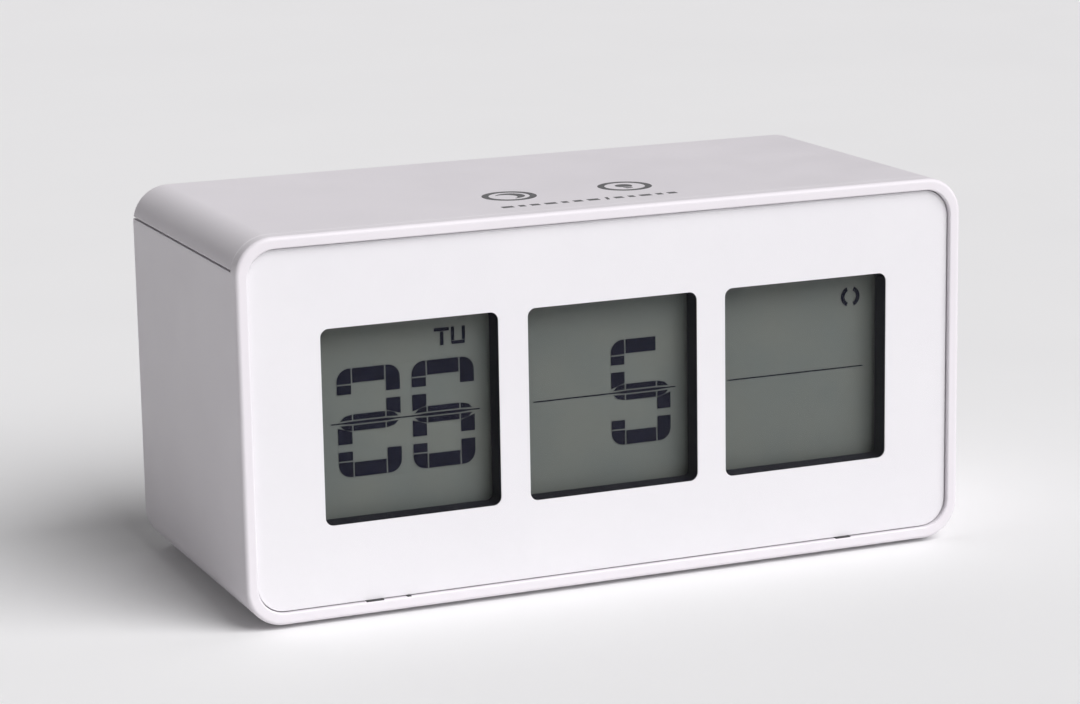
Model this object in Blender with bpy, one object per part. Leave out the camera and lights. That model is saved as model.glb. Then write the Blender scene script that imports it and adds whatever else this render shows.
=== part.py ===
"""Desktop calendar alarm clock: a white box with three display windows, a snooze cover on top
and controls, speaker holes and a battery bay at the back.

Frame: origin at the centre of the footprint on the surface it stands on, +Z up, +Y to the back,
so the windows face -Y and +X is the viewer's right. Sizes below are in millimetres.
"""

import math

import bmesh
import bpy
from mathutils import Matrix, Vector

MM = 0.001

# Driving dimensions
WIDTH = 165.0
DEPTH = 74.0
CASING_HEIGHT = 80.6
FOOT_DROP = 1.0          # how far the feet stand below the casing
CORNER_R = 8.0
EDGE_R = 0.9             # rounding of the front rim's outer edge
RIM = 2.5                # width of the rim around the front plate
SEAT_R = 6.0             # corners of the front plate's seat
WALL = 2.2
GAP = 0.3                # between pieces that touch
WINDOW_W = 38.8
WINDOW_H = 41.2
WINDOW_PITCH = 45.4
WINDOW_R = 1.8
WINDOW_DROP = 0.25       # the row of windows sits this far below the casing's middle
VIEW_W = 37.7            # the part of each display that the black frame leaves open
VIEW_H = 40.4
BACK_INSET = 1.8         # back cover behind the casing's rear edge
CLIP_SLOTS = {-54.7: 3.9, -47.2: 1.0, 54.3: 3.7}  # centre: width, along the front plate's lower edge

# Places that follow from them
FRONT = -DEPTH / 2
BACK = DEPTH / 2
BOTTOM = FOOT_DROP
TOP = FOOT_DROP + CASING_HEIGHT
MID_Z = (BOTTOM + TOP) / 2
WINDOW_Z = MID_Z - WINDOW_DROP
INNER_X = WIDTH / 2 - WALL
INNER_R = CORNER_R - WALL
WINDOW_X = [-WINDOW_PITCH, 0.0, WINDOW_PITCH]
SIDES = {"left": -1, "right": 1}

# Front stack, each plane measured along Y
LENS_FRONT = FRONT + 0.3
LENS_BACK = LENS_FRONT + 1.5
MASK_FRONT = LENS_BACK + GAP
MASK_BACK = MASK_FRONT + 0.4
LEDGE_FRONT = MASK_BACK + 0.1
LEDGE_BACK = LEDGE_FRONT + 1.8
LEDGE_W = 150.4
LEDGE_H = 66.6
FRAME_FRONT = MASK_BACK + GAP
FRAME_BACK = FRAME_FRONT + 7.8
LCD_FRONT = FRAME_FRONT + 2.6
LCD_BACK = LCD_FRONT + 2.0
LCD_W = 43.2
LCD_H = 48.0
BOARD_FRONT = FRAME_BACK + GAP
BOARD_BACK = BOARD_FRONT + 1.6
FLANGE_FRONT = FRAME_FRONT + 4.1
FRAME_SCREW_X = 78.0
FRAME_SCREW_Z = 28.0     # above and below the middle
PEG_X = 71.0

# Top cover
COVER_BOTTOM = TOP - 6.6
WALL_TOP = COVER_BOTTOM - 0.6
RIM_DEPTH = 3.4          # rim in front of the top cover
COVER_FRONT = FRONT + RIM_DEPTH + GAP
PIVOT_Y = 30.0
PIVOT_Z = TOP - 4.4
PIVOT_BORE_R = 1.3
PIVOT_PIN_R = 1.0
EAR_X = (73.6, 76.4)     # casing ears, from the middle outwards
EAR_WEB_X = (76.0, 81.0)
EAR_BOTTOM = 66.0
LUG_X = (69.4, 73.0)     # cover lugs, just inside the ears
LUG_HALF = 2.4
SNOOZE_X = 30.0
SNOOZE_Y = BOARD_BACK + GAP + 3.1

# Back cover, battery bay and controls
PLATE_BACK = BACK - BACK_INSET
PLATE_FRONT = PLATE_BACK - 2.4
BACK_SCREW_X = 76.4
BACK_SCREW_Z = [8.4, 69.6]
BAY_Z = 28.0
BAY_HALF_X = 29.5
BAY_HALF_Z = 15.3
BAY_FLOOR = 18.0
DOOR_HALF_X = 32.0
DOOR_HALF_Z = 17.7
DOOR_FRONT = PLATE_FRONT + 0.5
DOOR_T = 1.6
HINGE_Y = DOOR_FRONT + DOOR_T / 2
HINGE_Z = BAY_Z + DOOR_HALF_Z - DOOR_T / 2
CELL_R = 7.1
CELL_HALF = 24.6
CELL_Y = BAY_FLOOR + GAP + CELL_R
CELL_Z = [BAY_Z - 7.7, BAY_Z + 7.7]
CONTROL_Z = 60.0
BUTTON_X = {"mode": -21.0, "up": -7.0, "down": 7.0}
SWITCH_X = 22.5
REAR_BOARD_BACK = PLATE_FRONT - 9.2
REAR_BOARD_FRONT = REAR_BOARD_BACK - 1.6
BUZZER_X = 54.0
BUZZER_Z = 30.0
FOOT_X = 66.0
FOOT_Y = 26.0
FOOT_R = 5.0


# ---------------------------------------------------------------- shapes

def clear_scene():
    for thing in list(bpy.data.objects):
        bpy.data.objects.remove(thing, do_unlink=True)


def material(name, colour, roughness, metallic=0.0, alpha=1.0):
    found = bpy.data.materials.get(name)
    if found:
        return found
    made = bpy.data.materials.new(name)
    made.use_nodes = True
    shader = made.node_tree.nodes["Principled BSDF"]
    shader.inputs["Base Color"].default_value = (*colour, 1.0)
    shader.inputs["Roughness"].default_value = roughness
    shader.inputs["Metallic"].default_value = metallic
    shader.inputs["Alpha"].default_value = alpha
    return made


def rounded_rectangle(half_x, half_z, radius, steps=6):
    """Outline about the origin, anticlockwise seen from the front."""
    points = []
    for corner in range(4):
        sign_x = (1, -1, -1, 1)[corner]
        sign_z = (1, 1, -1, -1)[corner]
        for step in range(steps + 1):
            angle = math.radians(90 * corner + 90 * step / steps)
            x = sign_x * (half_x - radius) + radius * math.cos(angle)
            z = sign_z * (half_z - radius) + radius * math.sin(angle)
            points.append((x, z))
    return points


def new_object(name, mesh, look):
    thing = bpy.data.objects.new(name, mesh)
    bpy.context.scene.collection.objects.link(thing)
    if look:
        mesh.materials.append(look)
    return thing


def mesh_from_rings(name, rings):
    """Closed mesh through rings of equal point counts, capped at both ends."""
    build = bmesh.new()
    made = [[build.verts.new([c * MM for c in point]) for point in ring] for ring in rings]
    for first, second in zip(made, made[1:]):
        for i in range(len(first)):
            j = (i + 1) % len(first)
            build.faces.new((first[i], first[j], second[j], second[i]))
    build.faces.new(list(reversed(made[0])))
    build.faces.new(made[-1])
    bmesh.ops.recalc_face_normals(build, faces=build.faces)
    mesh = bpy.data.meshes.new(name)
    build.to_mesh(mesh)
    build.free()
    return mesh


def loft(name, sections, look=None, centre=(0.0, MID_Z)):
    """Solid along Y through (y, outline) sections, centred on x, z."""
    rings = [[(centre[0] + x, y, centre[1] + z) for x, z in outline] for y, outline in sections]
    return new_object(name, mesh_from_rings(name, rings), look)


def slab(name, half_x, half_z, radius, y0, y1, look=None, centre=(0.0, MID_Z), steps=4):
    """Rounded rectangle extruded along Y."""
    outline = rounded_rectangle(half_x, half_z, radius, steps)
    return loft(name, [(y0, outline), (y1, outline)], look, centre)


def box(name, low, high, look=None):
    x0, y0, z0 = low
    x1, y1, z1 = high
    lower = [(x0, y0, z0), (x1, y0, z0), (x1, y1, z0), (x0, y1, z0)]
    upper = [(x, y, z1) for x, y, _ in lower]
    return new_object(name, mesh_from_rings(name, [lower, upper]), look)


def turned(name, profile, place, axis="Z", look=None, sides=20):
    """Solid turned about an axis through place, from (radius, height) steps along that axis."""
    turns = {
        "Z": Matrix(),
        "Y": Matrix.Rotation(-math.pi / 2, 4, "X"),
        "X": Matrix.Rotation(math.pi / 2, 4, "Y"),
    }
    rings = []
    for radius, height in profile:
        ring = []
        for side in range(sides):
            angle = 2 * math.pi * (side + 0.5) / sides
            point = Vector((radius * math.cos(angle), radius * math.sin(angle), height))
            ring.append(tuple(turns[axis] @ point + Vector(place)))
        rings.append(ring)
    thing = new_object(name, mesh_from_rings(name, rings), look)
    thing.data.shade_smooth()
    thing.data.set_sharp_from_angle(angle=math.radians(40))
    return thing


def drum(name, radius, start, end, place, axis="Z", look=None, sides=20):
    """Plain cylinder from start to end along the axis through place."""
    return turned(name, [(radius, start), (radius, end)], place, axis, look, sides)


def combine(target, tools, operation):
    for tool in tools:
        step = target.modifiers.new(tool.name, "BOOLEAN")
        step.operation = operation
        step.solver = "EXACT"
        step.object = tool
        tool.hide_render = True
        tool.display_type = "WIRE"


def cut(target, *tools):
    combine(target, tools, "DIFFERENCE")


def join(target, *tools):
    combine(target, tools, "UNION")


def set_origin(thing, place):
    """Moves the object's origin to place, leaving the mesh where it is."""
    offset = Vector(place) * MM
    thing.data.transform(Matrix.Translation(-offset))
    thing.location = offset


# ---------------------------------------------------------------- materials

def white_plastic():
    return material("white_plastic", (0.80, 0.80, 0.81), 0.35)


def clear_plastic():
    return material("clear_acrylic", (0.95, 0.96, 0.98), 0.05, alpha=0.3)


def white_print():
    return material("white_print", (0.86, 0.86, 0.88), 0.3)


def black_plastic():
    return material("black_plastic", (0.02, 0.02, 0.022), 0.45)


def lcd_glass():
    return material("lcd_glass", (0.13, 0.14, 0.125), 0.15)


def diffuser_plastic():
    return material("diffuser_plastic", (0.78, 0.82, 0.84), 0.4)


def board_green():
    return material("circuit_board", (0.03, 0.16, 0.07), 0.5)


def steel():
    return material("steel", (0.62, 0.62, 0.63), 0.3, 1.0)


def rubber():
    return material("grey_rubber", (0.16, 0.16, 0.17), 0.8)


def led_body():
    return material("led_body", (0.85, 0.80, 0.45), 0.3)


def wire_red():
    return material("red_wire", (0.55, 0.03, 0.03), 0.5)


def wire_black():
    return material("black_wire", (0.02, 0.02, 0.02), 0.5)


def ribbon_grey():
    return material("grey_ribbon", (0.45, 0.46, 0.48), 0.5)


def cell_jacket():
    return material("cell_jacket", (0.08, 0.10, 0.16), 0.35)


def button_grey():
    return material("button_grey", (0.42, 0.43, 0.45), 0.45)


# ---------------------------------------------------------------- shell

def outer_body(name, look, y0, y1, front_r):
    """Rounded tube blank, its front edge rounded by front_r."""
    steps = 4
    sections = []
    if front_r:
        for step in range(steps + 1):
            angle = math.radians(90 * step / steps)
            inset = front_r * (1 - math.sin(angle))
            y = y0 + front_r * (1 - math.cos(angle))
            sections.append(
                (y, rounded_rectangle(WIDTH / 2 - inset, CASING_HEIGHT / 2 - inset, CORNER_R - inset))
            )
    else:
        sections.append((y0, rounded_rectangle(WIDTH / 2, CASING_HEIGHT / 2, CORNER_R)))
    sections.append((y1, rounded_rectangle(WIDTH / 2, CASING_HEIGHT / 2, CORNER_R)))
    return loft(name, sections, look)


def make_casing():
    """Bottom, both sides and the whole front rim in one moulding, with ledge, bosses and pivot ears."""
    casing = outer_body("casing", white_plastic(), FRONT, BACK, EDGE_R)
    half_z = CASING_HEIGHT / 2
    cut(
        casing,
        slab(
            "cut_lens_seat",
            WIDTH / 2 - RIM,
            half_z - RIM,
            SEAT_R,
            FRONT - 1,
            LEDGE_FRONT,
            steps=6,
        ),
        slab("cut_ledge", LEDGE_W / 2, LEDGE_H / 2, 3.0, LEDGE_FRONT - 1, LEDGE_BACK + 1),
        slab("cut_cavity", INNER_X, half_z - WALL, INNER_R, LEDGE_BACK, BACK + 1, steps=6),
        box("cut_top", (-WIDTH, FRONT + RIM_DEPTH, WALL_TOP), (WIDTH, BACK + 1, TOP + 1)),
    )
    seat_z = BOTTOM + RIM
    for number, (x, width) in enumerate(CLIP_SLOTS.items()):
        low = (x - width / 2, FRONT - 1, seat_z - 0.5)
        cut(casing, box(f"cut_clip_{number}", low, (x + width / 2, LEDGE_FRONT - 0.5, seat_z + 1)))
    holes = [drum("ear_bores", PIVOT_BORE_R, -80.0, 80.0, (0, PIVOT_Y, PIVOT_Z), "X", sides=12)]
    for side, sign in SIDES.items():
        for level, rise in (("low", -1), ("high", 1)):
            place = (sign * FRAME_SCREW_X, 0, MID_Z + rise * FRAME_SCREW_Z)
            join(
                casing,
                drum(
                    f"boss_frame_{side}_{level}",
                    2.4,
                    LEDGE_BACK - 1,
                    FLANGE_FRONT - GAP,
                    place,
                    "Y",
                    sides=12,
                ),
            )
            holes.append(
                drum(f"hole_frame_{side}_{level}", 1.2, LEDGE_FRONT + 0.6, 0.0, place, "Y", sides=10)
            )
        for level, z in zip(("low", "high"), BACK_SCREW_Z):
            place = (sign * BACK_SCREW_X, 0, z)
            join(
                casing,
                drum(f"boss_back_{side}_{level}", 4.2, 22.0, PLATE_FRONT - GAP, place, "Y", sides=16),
            )
            holes.append(drum(f"hole_back_{side}_{level}", 1.4, 24.0, BACK, place, "Y", sides=10))
        ear_x = sorted(sign * x for x in EAR_X)
        web_x = sorted(sign * x for x in EAR_WEB_X)
        join(
            casing,
            box(
                f"ear_{side}",
                (ear_x[0], PIVOT_Y - 3, EAR_BOTTOM),
                (ear_x[1], PIVOT_Y + 1.7, TOP - WALL - 0.8),
            ),
            box(
                f"ear_web_{side}",
                (web_x[0], PIVOT_Y - 3, EAR_BOTTOM),
                (web_x[1], PIVOT_Y + 1.7, WALL_TOP - 0.4),
            ),
        )
    cut(casing, *holes)
    for number, (x, y) in enumerate(foot_places()):
        cut(
            casing,
            drum(
                f"cut_foot_{number}", FOOT_R + 0.4, BOTTOM - 1, BOTTOM + 0.6, (x, y, 0), "Z", sides=24
            ),
        )
    return casing


def foot_places():
    return [(sx * FOOT_X, sy * FOOT_Y) for sy in (-1, 1) for sx in (-1, 1)]


def make_feet():
    for number, (x, y) in enumerate(foot_places(), start=1):
        profile = [(FOOT_R - 0.4, 0.0), (FOOT_R, 0.4), (FOOT_R, FOOT_DROP + 0.3)]
        turned(f"foot_{number}", profile, (x, y, 0), "Z", rubber(), sides=24)


def make_top_cover():
    """Snooze cover: the whole top with its rounded corners, pivoting on two lugs at the back."""
    cover = outer_body("top_cover", white_plastic(), COVER_FRONT, BACK, 0)
    cut(
        cover,
        slab(
            "cut_cover_hollow",
            INNER_X,
            CASING_HEIGHT / 2 - WALL,
            INNER_R,
            COVER_FRONT - 1,
            BACK + 1,
            steps=6,
        ),
        box("cut_cover_lower", (-WIDTH, COVER_FRONT - 1, BOTTOM - 1), (WIDTH, BACK + 1, COVER_BOTTOM)),
    )
    under = TOP - WALL + 0.5
    for side, sign in SIDES.items():
        lug_x = sorted(sign * x for x in LUG_X)
        join(
            cover,
            box(
                f"lug_{side}",
                (lug_x[0], PIVOT_Y - LUG_HALF, PIVOT_Z - LUG_HALF),
                (lug_x[1], PIVOT_Y + LUG_HALF, under),
            ),
            box(
                f"presser_{side}",
                (sign * SNOOZE_X - 2.5, SNOOZE_Y - 2.5, TOP - WALL - 1.2),
                (sign * SNOOZE_X + 2.5, SNOOZE_Y + 2.5, under),
            ),
        )
    cut(cover, drum("lug_bores", PIVOT_BORE_R, -78.0, 78.0, (0, PIVOT_Y, PIVOT_Z), "X", sides=12))
    set_origin(cover, (0, PIVOT_Y, PIVOT_Z))


def make_pivot_pins():
    for side, sign in SIDES.items():
        start, end = sorted((sign * 68.9, sign * 76.1))
        drum(f"pivot_pin_{side}", PIVOT_PIN_R, start, end, (0, PIVOT_Y, PIVOT_Z), "X", steel(), sides=12)


# ---------------------------------------------------------------- front and display

def make_front_plate():
    """Clear plate, and the white printed layer behind it with its three windows."""
    inset = RIM + GAP
    half_x = WIDTH / 2 - inset
    half_z = CASING_HEIGHT / 2 - inset
    slab(
        "front_lens", half_x, half_z, SEAT_R - GAP, LENS_FRONT, LENS_BACK, clear_plastic(), steps=6
    )
    mask = slab(
        "front_mask", half_x, half_z, SEAT_R - GAP, MASK_FRONT, MASK_BACK, white_print(), steps=6
    )
    for number, x in enumerate(WINDOW_X):
        cut(
            mask,
            slab(
                f"cut_window_{number}", WINDOW_W / 2, WINDOW_H / 2, WINDOW_R,
                MASK_FRONT - 1, MASK_BACK + 1, centre=(x, WINDOW_Z),
            ),
        )


def make_display_frame():
    """Black frame: three deep window tunnels in front, display pockets behind, side ears for screws."""
    frame = slab("display_frame", 74.6, 32.8, 2.6, FRAME_FRONT, FRAME_BACK, black_plastic())
    join(frame, slab("frame_flange", 79.6, 33.4, 2.0, FLANGE_FRONT, FLANGE_FRONT + 2.0))
    mouth = rounded_rectangle(WINDOW_W / 2 + 0.1, WINDOW_H / 2 + 0.1, WINDOW_R, 4)
    throat = rounded_rectangle(VIEW_W / 2, VIEW_H / 2, WINDOW_R - 0.5, 4)
    for number, x in enumerate(WINDOW_X):
        tunnel = [(FRAME_FRONT - 1, mouth), (FRAME_FRONT, mouth), (LCD_FRONT, throat)]
        cut(
            frame,
            loft(f"cut_tunnel_{number}", tunnel, centre=(x, WINDOW_Z)),
            slab(
                f"cut_pocket_{number}", LCD_W / 2 + GAP, LCD_H / 2 + GAP, 0.6,
                LCD_FRONT - GAP, LCD_BACK + 0.4, centre=(x, WINDOW_Z), steps=2,
            ),
        )
    pocket_x = WINDOW_PITCH + LCD_W / 2 + GAP
    half_z = LCD_H / 2 + GAP
    centre = (0, WINDOW_Z)
    box_y = (LCD_BACK + 0.2, FRAME_BACK + 1)
    cut(frame, slab("cut_light_box", pocket_x, half_z, 0.6, *box_y, centre=centre, steps=2))
    for side, sign in SIDES.items():
        for level, rise in (("low", -1), ("high", 1)):
            z = MID_Z + rise * FRAME_SCREW_Z
            cut(
                frame,
                drum(
                    f"frame_hole_{side}_{level}",
                    1.3,
                    FRAME_FRONT,
                    FRAME_BACK,
                    (sign * FRAME_SCREW_X, 0, z),
                    "Y",
                    sides=12,
                ),
            )
            join(
                frame,
                drum(
                    f"frame_peg_{side}_{level}",
                    1.2,
                    FRAME_BACK - 1,
                    BOARD_BACK + 0.9,
                    (sign * PEG_X, 0, z),
                    "Y",
                    sides=12,
                ),
            )


def make_displays():
    """Display glasses, their rubber connectors and the shared light diffuser with its two lamps."""
    for name, x in zip(("left", "middle", "right"), WINDOW_X):
        slab(
            f"lcd_{name}",
            LCD_W / 2,
            LCD_H / 2,
            0.4,
            LCD_FRONT,
            LCD_BACK,
            lcd_glass(),
            (x, WINDOW_Z),
            steps=1,
        )
        bottom = WINDOW_Z - LCD_H / 2 + 0.2
        box(
            f"connector_{name}",
            (x - LCD_W / 2 + 1, LCD_BACK + GAP, bottom),
            (x + LCD_W / 2 - 1, FRAME_BACK, bottom + 3.2),
            rubber(),
        )
    half_x = WINDOW_PITCH + LCD_W / 2 - 2.6
    bottom = WINDOW_Z - LCD_H / 2 + 3.9
    box(
        "light_diffuser",
        (-half_x, LCD_BACK + GAP + 0.2, bottom),
        (half_x, FRAME_BACK, WINDOW_Z + LCD_H / 2 - 0.4),
        diffuser_plastic(),
    )
    for side, sign in SIDES.items():
        near = half_x + GAP
        x0, x1 = sorted((sign * near, sign * (near + 1.6)))
        box(
            f"backlight_{side}",
            (x0, FRAME_BACK - 2.2, WINDOW_Z - 1.6),
            (x1, FRAME_BACK, WINDOW_Z + 1.6),
            led_body(),
        )


# ---------------------------------------------------------------- electronics

def make_main_board():
    board = slab("main_board", 73.8, 32.6, 1.0, BOARD_FRONT, BOARD_BACK, board_green(), steps=2)
    for side, sign in SIDES.items():
        for level, rise in (("low", -1), ("high", 1)):
            place = (sign * PEG_X, 0, MID_Z + rise * FRAME_SCREW_Z)
            cut(
                board,
                drum(
                    f"board_hole_{side}_{level}",
                    1.5,
                    BOARD_FRONT - 1,
                    BOARD_BACK + 1,
                    place,
                    "Y",
                    sides=12,
                ),
            )
    face = BOARD_BACK + GAP
    slab("controller_chip", 7.0, 7.0, 0.5, face, face + 1.6, black_plastic(), (-18.0, MID_Z), steps=2)
    drum("crystal", 1.5, 0.0, 8.0, (8.0, face + 1.5, MID_Z), "X", steel(), sides=12)
    for side, sign in SIDES.items():
        x = sign * SNOOZE_X
        switch = box(
            f"snooze_switch_{side}", (x - 3.1, face, 66.4), (x + 3.1, face + 6.2, 71.6), black_plastic()
        )
        cut(switch, drum(f"cut_snooze_{side}", 2.0, 68.0, 73.0, (x, SNOOZE_Y, 0), sides=12))
        plunger = drum(
            f"snooze_plunger_{side}", 1.6, 0.0, TOP - WALL - 1.2 - GAP - 69.2, (x, SNOOZE_Y, 69.2),
            look=black_plastic(), sides=12,
        )
        set_origin(plunger, (x, SNOOZE_Y, 69.2))


def make_rear_controls():
    """Board behind the back cover: three press buttons on their switches, and the alarm slider."""
    board = box(
        "rear_board",
        (-36, REAR_BOARD_FRONT, CONTROL_Z - 7),
        (38, REAR_BOARD_BACK, CONTROL_Z + 7),
        board_green(),
    )
    for side, x in (("left", -31.5), ("right", 33.5)):
        cut(
            board,
            drum(
                f"rear_hole_{side}",
                1.8,
                REAR_BOARD_FRONT - 1,
                REAR_BOARD_BACK + 1,
                (x, 0, CONTROL_Z),
                "Y",
                sides=12,
            ),
        )
    face = REAR_BOARD_BACK + GAP
    for name, x in BUTTON_X.items():
        switch = box(
            f"{name}_switch", (x - 3, face, CONTROL_Z - 3), (
                x + 3, face + 3.5, CONTROL_Z + 3
            ), black_plastic()
        )
        cut(
            switch,
            drum(f"cut_{name}_switch", 1.95, face + 0.9, face + 5, (x, 0, CONTROL_Z), "Y", sides=12),
        )
        plunger = drum(
            f"{name}_switch_plunger", 1.6, 0.0, 3.6, (
                x, face + 2.0, CONTROL_Z
            ), "Y", button_grey(), sides=12
        )
        set_origin(plunger, (x, face + 2.0, CONTROL_Z))
        rear = BACK - 0.6
        profile = [
            (1.5, face + 5.9), (1.5, PLATE_FRONT - 1.3), (4.4, PLATE_FRONT - 1.3), (
                4.4, PLATE_FRONT - GAP
            ),
            (3.5, PLATE_FRONT - GAP), (3.5, rear - 0.4), (3.1, rear),
        ]
        button = turned(f"{name}_button", profile, (x, 0, CONTROL_Z), "Y", button_grey())
        set_origin(button, (x, PLATE_FRONT, CONTROL_Z))
    body = box(
        "alarm_switch", (SWITCH_X - 6, face, CONTROL_Z - 3), (
            SWITCH_X + 6, face + 4, CONTROL_Z + 3
        ), black_plastic()
    )
    slot_low = (SWITCH_X - 3.4, face + 1.6, CONTROL_Z - 1.5)
    slot_high = (SWITCH_X + 3.4, face + 5, CONTROL_Z + 1.5)
    cut(body, box("cut_alarm_switch", slot_low, slot_high))
    x = SWITCH_X - 1.5
    knob = box(
        "alarm_slider", (x - 1.2, face + 2.3, CONTROL_Z - 0.9), (
            x + 1.2, PLATE_FRONT, CONTROL_Z + 0.9
        ), button_grey()
    )
    join(
        knob,
        box(
            "slider_head",
            (x - 2, PLATE_FRONT - 1.5, CONTROL_Z - 1.5),
            (x + 2, BACK - 0.9, CONTROL_Z + 1.5),
        ),
    )
    set_origin(knob, (x, PLATE_FRONT, CONTROL_Z))
    buzzer_profile = [(6.5, PLATE_FRONT - 6.3), (6.5, PLATE_FRONT - GAP)]
    turned("buzzer", buzzer_profile, (BUZZER_X, 0, BUZZER_Z), "Y", black_plastic(), sides=24)


# ---------------------------------------------------------------- back

def make_back_cover():
    """Back plate with the battery bay moulded in, button holes, slider slot and sound holes."""
    mid = (BOTTOM + WALL + GAP + TOP - WALL - 0.5) / 2
    half_z = (TOP - WALL - 0.5) - mid
    cover = slab(
        "back_cover",
        INNER_X - 0.4,
        half_z,
        INNER_R - 0.4,
        PLATE_FRONT,
        PLATE_BACK,
        white_plastic(),
        (0, mid),
    )
    bay = (0, BAY_Z)
    join(
        cover,
        slab(
            "bay_flange",
            DOOR_HALF_X + 2,
            DOOR_HALF_Z + 2,
            2.0,
            PLATE_FRONT - 1.3,
            PLATE_FRONT + 0.5,
            centre=bay,
        ),
        slab(
            "bay_tub", BAY_HALF_X + 1.5, BAY_HALF_Z + 1.5, 2.0, BAY_FLOOR - 1.5, PLATE_FRONT, centre=bay
        ),
    )
    seat = DOOR_FRONT - GAP
    cut(
        cover,
        slab("cut_bay", BAY_HALF_X, BAY_HALF_Z, 1.0, BAY_FLOOR, BACK, centre=bay),
        slab(
            "cut_door_seat", DOOR_HALF_X + GAP, DOOR_HALF_Z + GAP, 0.4, seat, BACK, centre=bay, steps=1
        ),
        drum(
            "cut_thumb", 6.0, PLATE_FRONT + 0.9, BACK, (0, 0, BAY_Z - DOOR_HALF_Z - 0.5), "Y", sides=24
        ),
        drum(
            "cut_door_pivots",
            0.8,
            -DOOR_HALF_X - 2.0,
            DOOR_HALF_X + 2.0,
            (0, HINGE_Y, HINGE_Z),
            "X",
            sides=12,
        ),
    )
    for name, x in BUTTON_X.items():
        cut(
            cover,
            drum(f"cut_{name}_hole", 3.8, PLATE_FRONT - 1, BACK, (x, 0, CONTROL_Z), "Y", sides=20),
        )
    cut(
        cover,
        box(
            "cut_slider_slot",
            (SWITCH_X - 4.1, PLATE_FRONT - 1, CONTROL_Z - 1.9),
            (SWITCH_X + 4.1, BACK, CONTROL_Z + 1.9),
        ),
    )
    for side, x in (("left", -31.5), ("right", 33.5)):
        post = [
            (1.4, REAR_BOARD_FRONT - 0.8),
            (1.4, REAR_BOARD_BACK + GAP),
            (2.6, REAR_BOARD_BACK + GAP),
            (2.6, PLATE_FRONT + 0.5),
        ]
        join(cover, turned(f"post_{side}", post, (x, 0, CONTROL_Z), "Y", sides=12))
    for number in range(7):
        angle = math.radians(60 * number)
        reach = 3.6 if number < 6 else 0.0
        place = (BUZZER_X + reach * math.cos(angle), 0, BUZZER_Z + reach * math.sin(angle))
        cut(cover, drum(f"sound_hole_{number}", 0.8, PLATE_FRONT - 1, BACK, place, "Y", sides=10))
    for side, sign in SIDES.items():
        for level, z in zip(("low", "high"), BACK_SCREW_Z):
            place = (sign * BACK_SCREW_X, 0, z)
            cut(
                cover,
                drum(f"cover_hole_{side}_{level}", 1.5, PLATE_FRONT - 1, BACK, place, "Y", sides=12),
            )


def make_battery_door():
    """Lid with a half-round upper edge that turns on two short pivots."""
    half_x = DOOR_HALF_X
    bottom = BAY_Z - DOOR_HALF_Z
    door = box(
        "battery_door", (-half_x, DOOR_FRONT, bottom), (
            half_x, DOOR_FRONT + DOOR_T, HINGE_Z
        ), white_plastic()
    )
    join(
        door,
        drum("door_edge", DOOR_T / 2, -half_x, half_x, (0, HINGE_Y, HINGE_Z), "X", sides=16),
        drum("door_pivots", 0.5, -half_x - 1.6, half_x + 1.6, (0, HINGE_Y, HINGE_Z), "X", sides=12),
    )
    cut(door, drum("door_thumb", 6.0, HINGE_Y - 3, BACK, (0, 0, bottom - 2.5), "Y", sides=24))
    set_origin(door, (0, HINGE_Y, HINGE_Z))


def make_cells():
    """Two cells lying opposite ways, their springs and contact plates."""
    for number, (z, sign) in enumerate(zip(CELL_Z, (1, -1)), start=1):
        profile = [
            (CELL_R - 0.5, -CELL_HALF), (CELL_R, -CELL_HALF + 0.5), (CELL_R, CELL_HALF - 0.5), (
                CELL_R - 0.5, CELL_HALF
            ),
            (2.7, CELL_HALF), (2.7, CELL_HALF + 1.2),
        ]
        cell = turned(f"cell_{number}", profile, (0, 0, 0), "X", cell_jacket(), sides=24)
        if sign < 0:
            cell.rotation_euler = (0, 0, math.pi)
        cell.location = Vector((0, CELL_Y, z)) * MM
        make_contact_spring(f"contact_spring_{number}", -sign, z)


def make_contact_spring(name, sign, z):
    """Three turns of wire from the contact plate to the cell's flat end."""
    start = BAY_HALF_X - 1.1
    end = CELL_HALF + 0.75
    turns = 2.5
    steps = 36
    curve = bpy.data.curves.new(name, "CURVE")
    curve.dimensions = "3D"
    curve.bevel_depth = 0.35 * MM
    curve.bevel_resolution = 1
    curve.use_fill_caps = True
    path = curve.splines.new("POLY")
    path.points.add(steps)
    for step in range(steps + 1):
        part = step / steps
        angle = 2 * math.pi * turns * part
        radius = 4.2 - 1.2 * part
        x = sign * (start + (end - start) * part)
        y = CELL_Y + radius * math.cos(angle)
        path.points[step].co = (x * MM, y * MM, (z + radius * math.sin(angle)) * MM, 1)
    new_object(name, curve, None)
    curve.materials.append(steel())


def make_contact_plates():
    """A bridge across both cells at the left, and a plate for each terminal at the right."""
    back = BAY_HALF_X - GAP
    low, high = CELL_Z
    dimple = {"bridge": (-1, high), "positive": (1, low)}
    spans = {
        "bridge": (-1, low - 5.5, high + 5.5),
        "positive": (1, low - 5.5, low + 5.5),
        "negative": (1, high - 5.5, high + 5.5),
    }
    for name, (sign, z0, z1) in spans.items():
        x0, x1 = sorted((sign * (back - 0.4), sign * back))
        plate = box(f"contact_{name}", (x0, CELL_Y - 5, z0), (x1, CELL_Y + 5, z1), steel())
        if name in dimple:
            start, end = sorted((sign * (CELL_HALF + 1.5), sign * (back - 0.2)))
            join(
                plate,
                drum(f"dimple_{name}", 2.2, start, end, (0, CELL_Y, dimple[name][1]), "X", sides=14),
            )


# ---------------------------------------------------------------- wires and fasteners

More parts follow.
